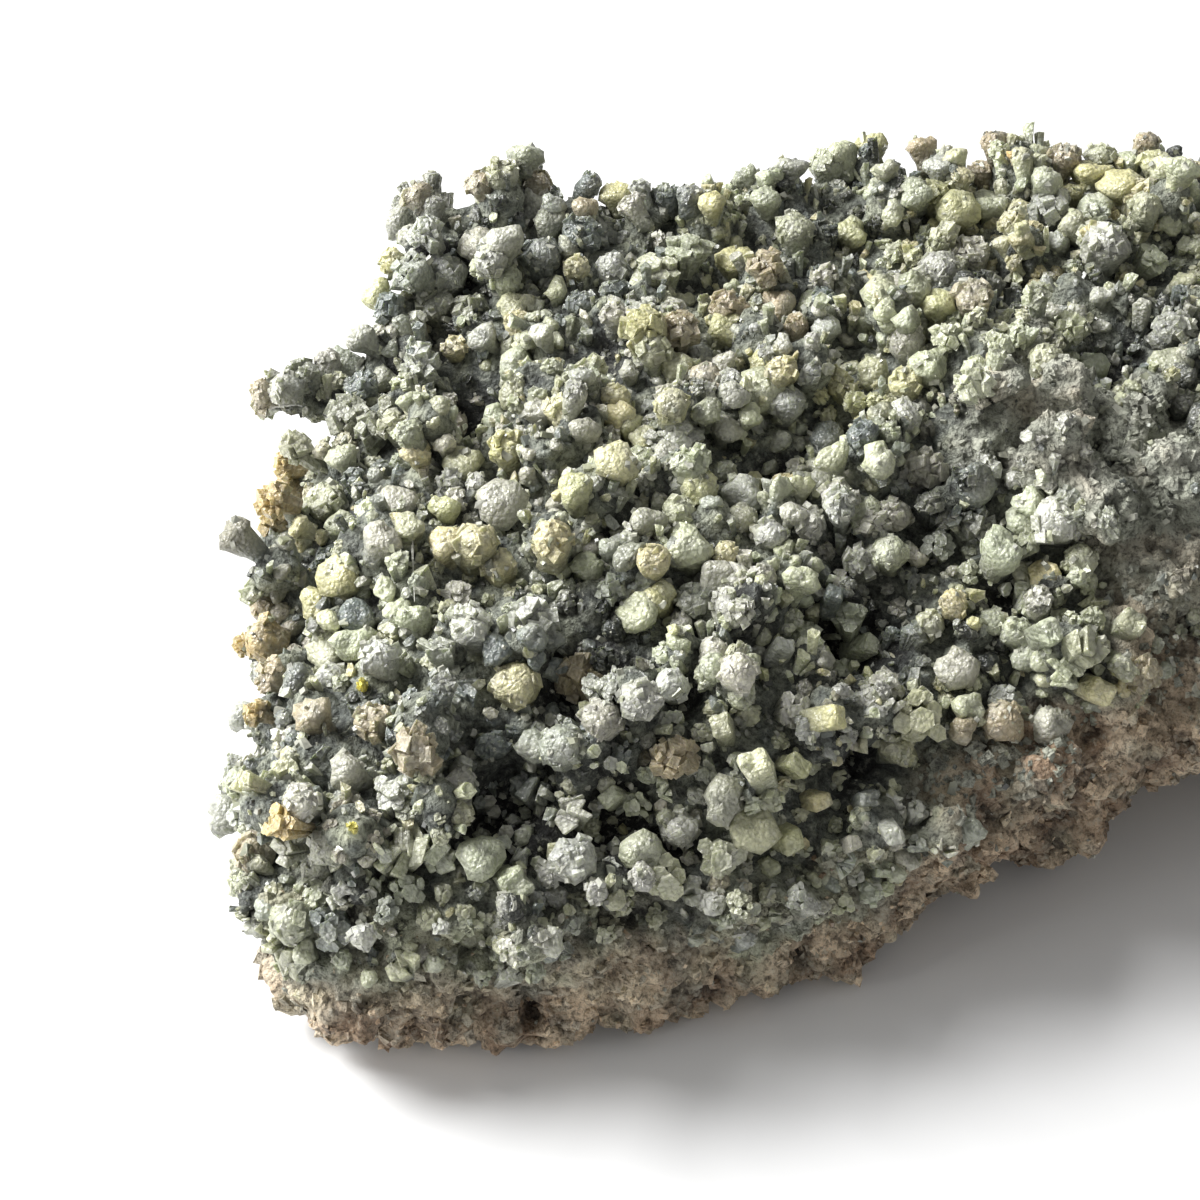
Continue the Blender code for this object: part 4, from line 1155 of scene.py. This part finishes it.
class Cluster:
    """Crystals that grew from one spot: they share a habit and colours and splay from its middle."""

    def __init__(self, middle, out, rng):
        self.middle = Vector(middle)
        self.lean = (Vector(out) + Vector([rng.uniform(-0.6, 0.6) for _ in range(3)])).normalized()
        habits = BLOCKY_HABITS if middle[1] < BLOCKY_EDGE and rng.random() < 0.5 else HABITS
        habits = RAGGED_HABITS if middle[1] < RAGGED_EDGE else habits
        self.main, self.others = rng.choice(habits)
        self.root, self.head = cluster_colours(middle[0], middle[1], rng)
        self.vigour = rng.uniform(0.75, 1.2)

    def member(self, place, radius, out, shapes, rng):
        """The stamp of one crystal at a place, and its kind."""
        offset = (place - self.middle) / CLUSTER_REACH
        far = min(1.0, offset.length)
        kind = self.main if rng.random() < 0.6 else rng.choice(self.others)
        lean = Vector([rng.uniform(-0.22, 0.22) for _ in range(3)])
        direction = (self.lean * 0.7 + Vector(out) * 0.5 + offset * 0.45 + lean).normalized()
        step = min(3, int(rng.uniform(0, 2.2) + (1 - far) * 1.8 * self.vigour))
        size = min(radius * (1.12 - 0.25 * far) * self.vigour, GREATEST_SIZE)
        tall = min(size * rng.uniform(0.85, 1.15), GREATEST_LENGTH / LENGTHS[step])
        foot = place - direction * ROOT_DEPTH
        spin = rng.uniform(0, math.tau)
        stamp = matrix_at(foot, direction, spin, (size, size * rng.uniform(0.7, 1), tall))
        shape = rng.choice(shapes[kind][step])
        return kind, (shape, stamp, varied(self.root, rng), varied(self.head, rng))


def fringe_stamp(place, radius, out, shapes, rng):
    """A ragged column that stands up along the broken wall, and its kind."""
    kind = rng.choice(FRINGE)
    direction = Vector(out) * 0.5 + Vector((0, 0, 0.9)) + Vector([rng.uniform(-0.3, 0.3) for _ in range(3)])
    direction.normalize()
    size = radius * rng.uniform(0.7, 1.1)
    foot = place - direction * ROOT_DEPTH
    stamp = matrix_at(foot, direction, rng.uniform(0, math.tau), (size, size, size))
    # A darker root colour, partly painted shade at the crystal's foot.
    root = varied(linear(rng.choice((SLATE, GREY_GREEN))), rng)
    head = varied(linear(rng.choice((GREY_GREEN, SAGE, SAGE, ASH, FROST, PALE_GREEN))), rng)
    return kind, (rng.choice(shapes[kind][rng.randrange(4)]), stamp, root, head)


HEAD_RISE = 0.0010
HERO_SPREAD = 0.9
HERO_VARIATION = 0.06
EDGE_GAP = 0.0009


def hero_stamp(hero, bed, broad_tree, shapes, rng):
    """One crystal of the photo: its head on its sight line, its root in the bed. None if nothing is near."""
    px, py, radius, kind, colour, *leaning = hero
    sideways, upward = leaning or (0, 0)
    found, seen = seen_at(bed, px, py)
    if found is None:
        return None
    size = radius * MM * HERO_SPREAD
    _, direction = sight_line(px, py)
    head = seen - direction * (HEAD_RISE * min(1.0, size / HEAD_RISE) + 0.6 * size)
    out = broad_tree.find_nearest(found)[1]
    right, up = picture_axes()
    if found == seen:
        lean = (out * 0.9 + Vector((0, 0, 0.35)) + right * sideways + up * upward).normalized()
        reach = (head - found).dot(out) / max(0.35, lean.dot(out)) + ROOT_DEPTH
    else:
        aside = seen - found
        head = found + aside * min(1.0, EDGE_GAP / aside.length) + Vector((0, 0, 0.3 * size))
        root = found - out * ROOT_DEPTH
        lean = (head - root).normalized()
        reach = (head - root).length
    step = min(3, max(0, int((reach / size - 1.2) / 0.5)))
    length = LENGTHS[step]
    tall = max(reach / length, size * 0.85)
    foot = head - lean * tall * length
    stamp = matrix_at(foot, lean, rng.uniform(0, math.tau), (size, size, tall))
    shape = rng.choice(shapes[kind][step])
    head_colour = linear(colour)
    # A darker root colour, partly painted shade at the crystal's foot.
    root_colour = head_colour * 0.35 + linear(SLATE) * 0.45
    return found, size, kind, (shape, stamp, root_colour, varied(head_colour, rng, HERO_VARIATION))


class PREHNITE_OT_crystals(bpy.types.Operator):
    """Grow the crust of fingers, knobs, sheaves, blocks and fans"""

    bl_idname = "prehnite.crystals"
    bl_label = "Grow the crystals"

    def execute(self, context):
        crystals = settings().crystals
        rng = random.Random(crystals.seed)
        draws = np.random.default_rng(crystals.seed)
        shapes = crystal_templates(rng)
        middles, _, areas = surface_arrays(bpy.data.objects["slab"])
        picks = draws.choice(len(areas), crystals.tries, p=areas / areas.sum())
        broad_tree = broad_shape()
        broad = broad_normals(broad_tree, middles[picks])
        bare = matrix_share(middles[picks], broad)
        rocks = rock_share(middles[picks], broad_tree)[0]
        hollows = hollow_depth(middles[picks], broad_tree)
        starts = Spacing(CLUSTER_REACH * 2)
        clusters = []
        for middle, out in zip(middles[picks], broad):
            if starts.clear(middle, CLUSTER_REACH, 0.8):
                starts.take(middle, CLUSTER_REACH)
                clusters.append(Cluster(middle, out, rng))
        nearest = KDTree(len(clusters))
        for i, cluster in enumerate(clusters):
            nearest.insert(cluster.middle, i)
        nearest.balance()
        spacing = Spacing(crystals.greatest_radius * 2)
        stamps = {kind: [] for kind in shapes}
        bed = surface_tree(bpy.data.objects["slab"])
        for hero in HEROES:
            made = hero_stamp(hero, bed, broad_tree, shapes, rng)
            if made:
                found, size, kind, stamp = made
                spacing.take(found, size * 0.8)
                stamps[kind].append(stamp)
        for middle, out, share, rock, hollow in zip(middles[picks], broad, bare, rocks, hollows):
            if hollow > EMPTY_HOLLOW and rng.random() < EMPTINESS:
                continue
            place = Vector(middle)
            level = place.z + 0.005 * noise.noise(place / 0.009)
            fringed = share > 0.2 and level > fringe_foot(place)
            too_low = share > 0.2 and level < LOWEST_CRYSTAL
            if too_low or out[2] < -0.35 or rng.random() < max(0.25 if fringed else share * 1.15, rock):
                continue
            _, index, distance = nearest.find(place)
            if distance > CLUSTER_REACH * crystals.fullness and rng.random() < 0.4:
                continue
            spread = crystals.greatest_radius - crystals.least_radius
            radius = crystals.least_radius + spread * rng.random() ** 1.8
            radius = min(radius, FRINGE_RADIUS) if fringed else radius
            if not spacing.clear(place, radius, crystals.packing):
                continue
            spacing.take(place, radius)
            if fringed:
                kind, stamp = fringe_stamp(place, radius, out, shapes, rng)
            else:
                kind, stamp = clusters[index].member(place, radius, out, shapes, rng)
            stamps[kind].append(stamp)
        pieces = [(name, [stamp for kind in kinds for stamp in stamps[kind]]) for name, kinds in PIECES]
        waxy = waxy_prehnite()
        for name, some in pieces + left_and_right("crusted_fingers", stamps["rough"]):
            piece = place_in_scene(joined_mesh(name, some), name, waxy)
            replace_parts(piece, NODE)
        return {"FINISHED"}


BED_GRAINS = (FROST, ASH, ASH, SAGE, GREY_GREEN, GREY_GREEN, SLATE, SLATE, CHARCOAL)
MATRIX_GRAINS = (BROWN, BROWN, TAN, EARTH, ASH)
CRYSTAL_GRAINS = (FROST, FROST, PALE_GREEN, ASH, SAGE)
GRAIN_SHARES = (("slab", 0.6, BED_GRAINS), ("waxy_fingers", 0.1, CRYSTAL_GRAINS),
                ("crusted_fingers_left", 0.15, CRYSTAL_GRAINS),
                ("crusted_fingers_right", 0.15, CRYSTAL_GRAINS))


# The pale fibre that lies on the crystals: its two ends in the picture, its radius and how far off the bed
# it is.
LINT_ENDS = ((415, 602), (412, 538))
LINT_RADIUS = 0.00005
LINT_LIFT = 0.0034


def lint_stamp(tree, shape):
    """The fibre between its two ends, as one stamp."""
    foot, tip = (seen_at(tree, *end)[0] - sight_line(*end)[1] * LINT_LIFT for end in LINT_ENDS)
    size = (LINT_RADIUS, LINT_RADIUS, (tip - foot).length)
    return shape, matrix_at(foot, tip - foot, 0, size), linear(FROST), linear(FROST)


def lath_stamps(rng, draws):
    """Slim crystals that fill the crust between the big ones and stand up along the broken wall."""
    druse_settings = settings().druse
    tree = broad_shape()
    middles, _, areas = surface_arrays(bpy.data.objects["slab"])
    picks = draws.choice(len(areas), druse_settings.laths * 2, p=areas / areas.sum())
    broad = broad_normals(tree, middles[picks])
    walls = matrix_share(middles[picks], broad)
    rocks = rock_share(middles[picks], tree)[0]
    shapes = [as_arrays(lath_shape(rng)) for _ in range(12)]
    stamps = []
    for middle, out, wall, rock in zip(middles[picks], broad, walls, rocks):
        place = Vector(middle)
        level = place.z + 0.005 * noise.noise(place / 0.009)
        fringed = wall > 0.2 and level > fringe_foot(place)
        if out[2] < -0.3 or rng.random() < max(0.1 if fringed else wall * 1.3, rock):
            continue
        share = rng.random()
        thick = druse_settings.thickest_lath - druse_settings.thinnest_lath
        radius = druse_settings.thinnest_lath + thick * share ** 1.5
        length = druse_settings.longest_lath * rng.uniform(0.35, 1)
        length *= 0.5 if out[2] < LATH_RIM else 0.55 + 0.45 * share
        lean = Vector([rng.uniform(-0.45, 0.45) for _ in range(3)])
        up = Vector(out) * 0.5 + Vector((0, 0, 0.8)) if fringed else Vector(out)
        root, head = cluster_colours(place.x, place.y, rng)
        scale = (radius, radius * rng.uniform(0.55, 1), length)
        stamp = matrix_at(place - up * LATH_DEPTH, up + lean, rng.uniform(0, math.tau), scale)
        stamps.append((rng.choice(shapes), stamp, varied(root, rng), varied(head, rng)))
    return stamps[:druse_settings.laths] + [lint_stamp(tree, shapes[0])]


def crumb_stamps(rng, draws):
    """Crumbs of the matrix's own colours, most of them where it is barest."""
    crumbs = settings().druse
    tree = broad_shape()
    middles, normals, areas = surface_arrays(bpy.data.objects["slab"])
    walls = matrix_share(middles, broad_normals(tree, middles))
    rocks = rock_share(middles, tree)[0]
    weights = areas * np.maximum(walls, rocks) ** 2 * np.where(normals[:, 2] > -0.5, 1.0, 0.15)
    shapes = [as_arrays(crumb_shape(rng)) for _ in range(8)]
    stamps = []
    for i in draws.choice(len(areas), crumbs.crumbs, p=weights / weights.sum()):
        spread = crumbs.greatest_crumb - crumbs.least_crumb
        size = crumbs.least_crumb + spread * rng.random() ** 2.2
        out = Vector(normals[i])
        place = Vector(middles[i]) - out * size * 0.2
        lean = Vector([rng.uniform(-0.5, 0.5) for _ in range(3)])
        colour = ground_colour(place, walls[i], rocks[i], rng.uniform(-0.4, 0.7))
        colour = colour * rng.uniform(0.7, 1.3)
        scale = (size, size * rng.uniform(0.6, 1), size * rng.uniform(0.5, 0.8))
        stamp = matrix_at(place, out + lean, rng.uniform(0, math.tau), scale)
        stamps.append((rng.choice(shapes), stamp, colour, colour))
    return stamps


class PREHNITE_OT_druse(bpy.types.Operator):
    """Scatter grains and slim crystals over the crust and crumbs over the matrix"""

    bl_idname = "prehnite.druse"
    bl_label = "Scatter the druse"

    def execute(self, context):
        druse_settings = settings().druse
        rng = random.Random(druse_settings.seed)
        draws = np.random.default_rng(druse_settings.seed)
        shapes = [as_arrays(grain_shape(rng)) for _ in range(6)]
        broad_tree = broad_shape()
        stamps = []
        for name, share, colours in GRAIN_SHARES:
            middles, normals, areas = surface_arrays(bpy.data.objects[name])
            weights = areas * np.where(normals[:, 2] > -0.3, 1.0, 0.1)
            grains = int(druse_settings.grains * share)
            picks = draws.choice(len(areas), grains, p=weights / weights.sum())
            bare = matrix_share(middles[picks], broad_normals(broad_tree, middles[picks]))
            for middle, out, share in zip(middles[picks], normals[picks], bare):
                on_matrix = name == "slab" and share > 0.5
                if on_matrix and rng.random() < 0.15:
                    continue
                reach = (druse_settings.greatest_size - druse_settings.least_size) * (1 - 0.5 * on_matrix)
                size = druse_settings.least_size + reach * rng.random() ** 2
                lean = Vector([rng.uniform(-0.7, 0.7) for _ in range(3)])
                colour = linear(rng.choice(MATRIX_GRAINS if on_matrix else colours))
                colour = colour * rng.uniform(0.7, 1.1)
                scale = (size, size * rng.uniform(0.6, 1), size * rng.uniform(0.8, 1.6))
                stamp = matrix_at(Vector(middle), Vector(out) + lean, rng.uniform(0, math.tau), scale)
                stamps.append((rng.choice(shapes), stamp, colour, colour))
        material = druse()
        for name, some in left_and_right("druse", stamps):
            piece = place_in_scene(joined_mesh(name, some), name, material)
            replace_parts(piece, NODE)
        laths = joined_mesh("slim_crystals", lath_stamps(rng, draws))
        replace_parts(place_in_scene(laths, "slim_crystals", bpy.data.materials["waxy prehnite"]), NODE)
        crumbs = joined_mesh("matrix_crumbs", crumb_stamps(rng, draws))
        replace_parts(place_in_scene(crumbs, "matrix_crumbs", bpy.data.materials["slab stone"]), NODE)
        return {"FINISHED"}


FLOOR_SIZE = 2.0
SENSOR_WIDTH = 36
KEY_PLACE = (-0.64, 0.23, 0.56)
KEY_SIZE = 0.46
FILL_PLACE = (-0.75, -0.20, 0.22)
FILL_SIZE = 0.40


def area_light(name, place, aim, size, power):
    """A soft square light that faces the specimen."""
    data = bpy.data.lights.new(name, "AREA")
    data.size = size
    data.energy = power
    light = bpy.data.objects.new(name, data)
    light.location = place
    light.rotation_euler = (Vector(aim) - Vector(place)).to_track_quat("-Z", "Y").to_euler()
    bpy.context.scene.collection.objects.link(light)


class PREHNITE_OT_stage(bpy.types.Operator):
    """Set the pale floor, the soft light and the camera"""

    bl_idname = "prehnite.stage"
    bl_label = "Set the stage"

    def execute(self, context):
        stage = settings().stage
        scene = context.scene
        bm = bmesh.new()
        bmesh.ops.create_grid(bm, x_segments=1, y_segments=1, size=FLOOR_SIZE)
        floor_mesh = bpy.data.meshes.new("floor")
        bm.to_mesh(floor_mesh)
        bm.free()
        floor = bpy.data.objects.new("floor", floor_mesh)
        scene.collection.objects.link(floor)
        n = Nodes("floor paper")
        shade = n.ramp(n.noise(0.02), 0.3, 0.7, 0.97, 1.0)
        grey = n.add("ShaderNodeCombineColor", Red=shade, Green=shade, Blue=shade).outputs[0]
        colour = n.mix(1.0, with_alpha(stage.floor_colour), grey, "MULTIPLY")
        floor_mesh.materials.append(n.finish(Base_Color=colour, Roughness=0.6))
        world = bpy.data.worlds.new("studio")
        world.use_nodes = True
        world.node_tree.nodes["Background"].inputs["Color"].default_value = (1, 1, 1, 1)
        world.node_tree.nodes["Background"].inputs["Strength"].default_value = stage.sky
        scene.world = world
        area_light("key", KEY_PLACE, stage.aim, KEY_SIZE, stage.key_power)
        area_light("fill", FILL_PLACE, stage.aim, FILL_SIZE, stage.fill_power)
        place, look = camera_place()
        data = bpy.data.cameras.new("camera")
        data.sensor_width = SENSOR_WIDTH
        data.lens = SENSOR_WIDTH / 2 * stage.distance / stage.half_view
        data.clip_start = 0.01
        camera = bpy.data.objects.new("camera", data)
        camera.location = place
        camera.rotation_euler = look.to_track_quat("-Z", "Y").to_euler()
        scene.collection.objects.link(camera)
        scene.camera = camera
        scene.view_settings.view_transform = "Standard"
        return {"FINISHED"}


class PREHNITE_PT_panel(bpy.types.Panel):
    """The steps that make the specimen"""

    bl_label = "Prehnite specimen"
    bl_idname = "PREHNITE_PT_panel"
    bl_space_type = "VIEW_3D"
    bl_region_type = "UI"
    bl_category = "Prehnite"

    def draw(self, context):
        for operator in OPERATORS:
            self.layout.operator(operator.bl_idname)


OPERATORS = (PREHNITE_OT_slab, PREHNITE_OT_crystals, PREHNITE_OT_druse, PREHNITE_OT_stage)
CLASSES = (SlabSettings, CrystalSettings, DruseSettings, StageSettings, SpecimenSettings, *OPERATORS,
           PREHNITE_PT_panel)


def register():
    for cls in CLASSES:
        bpy.utils.register_class(cls)
    bpy.types.Scene.prehnite = PointerProperty(type=SpecimenSettings)


def unregister():
    del bpy.types.Scene.prehnite
    for cls in reversed(CLASSES):
        bpy.utils.unregister_class(cls)


def main():
    register()
    bpy.ops.prehnite.slab()
    bpy.ops.prehnite.crystals()
    bpy.ops.prehnite.druse()
    bpy.ops.prehnite.stage()


if __name__ == "__main__":
    main()
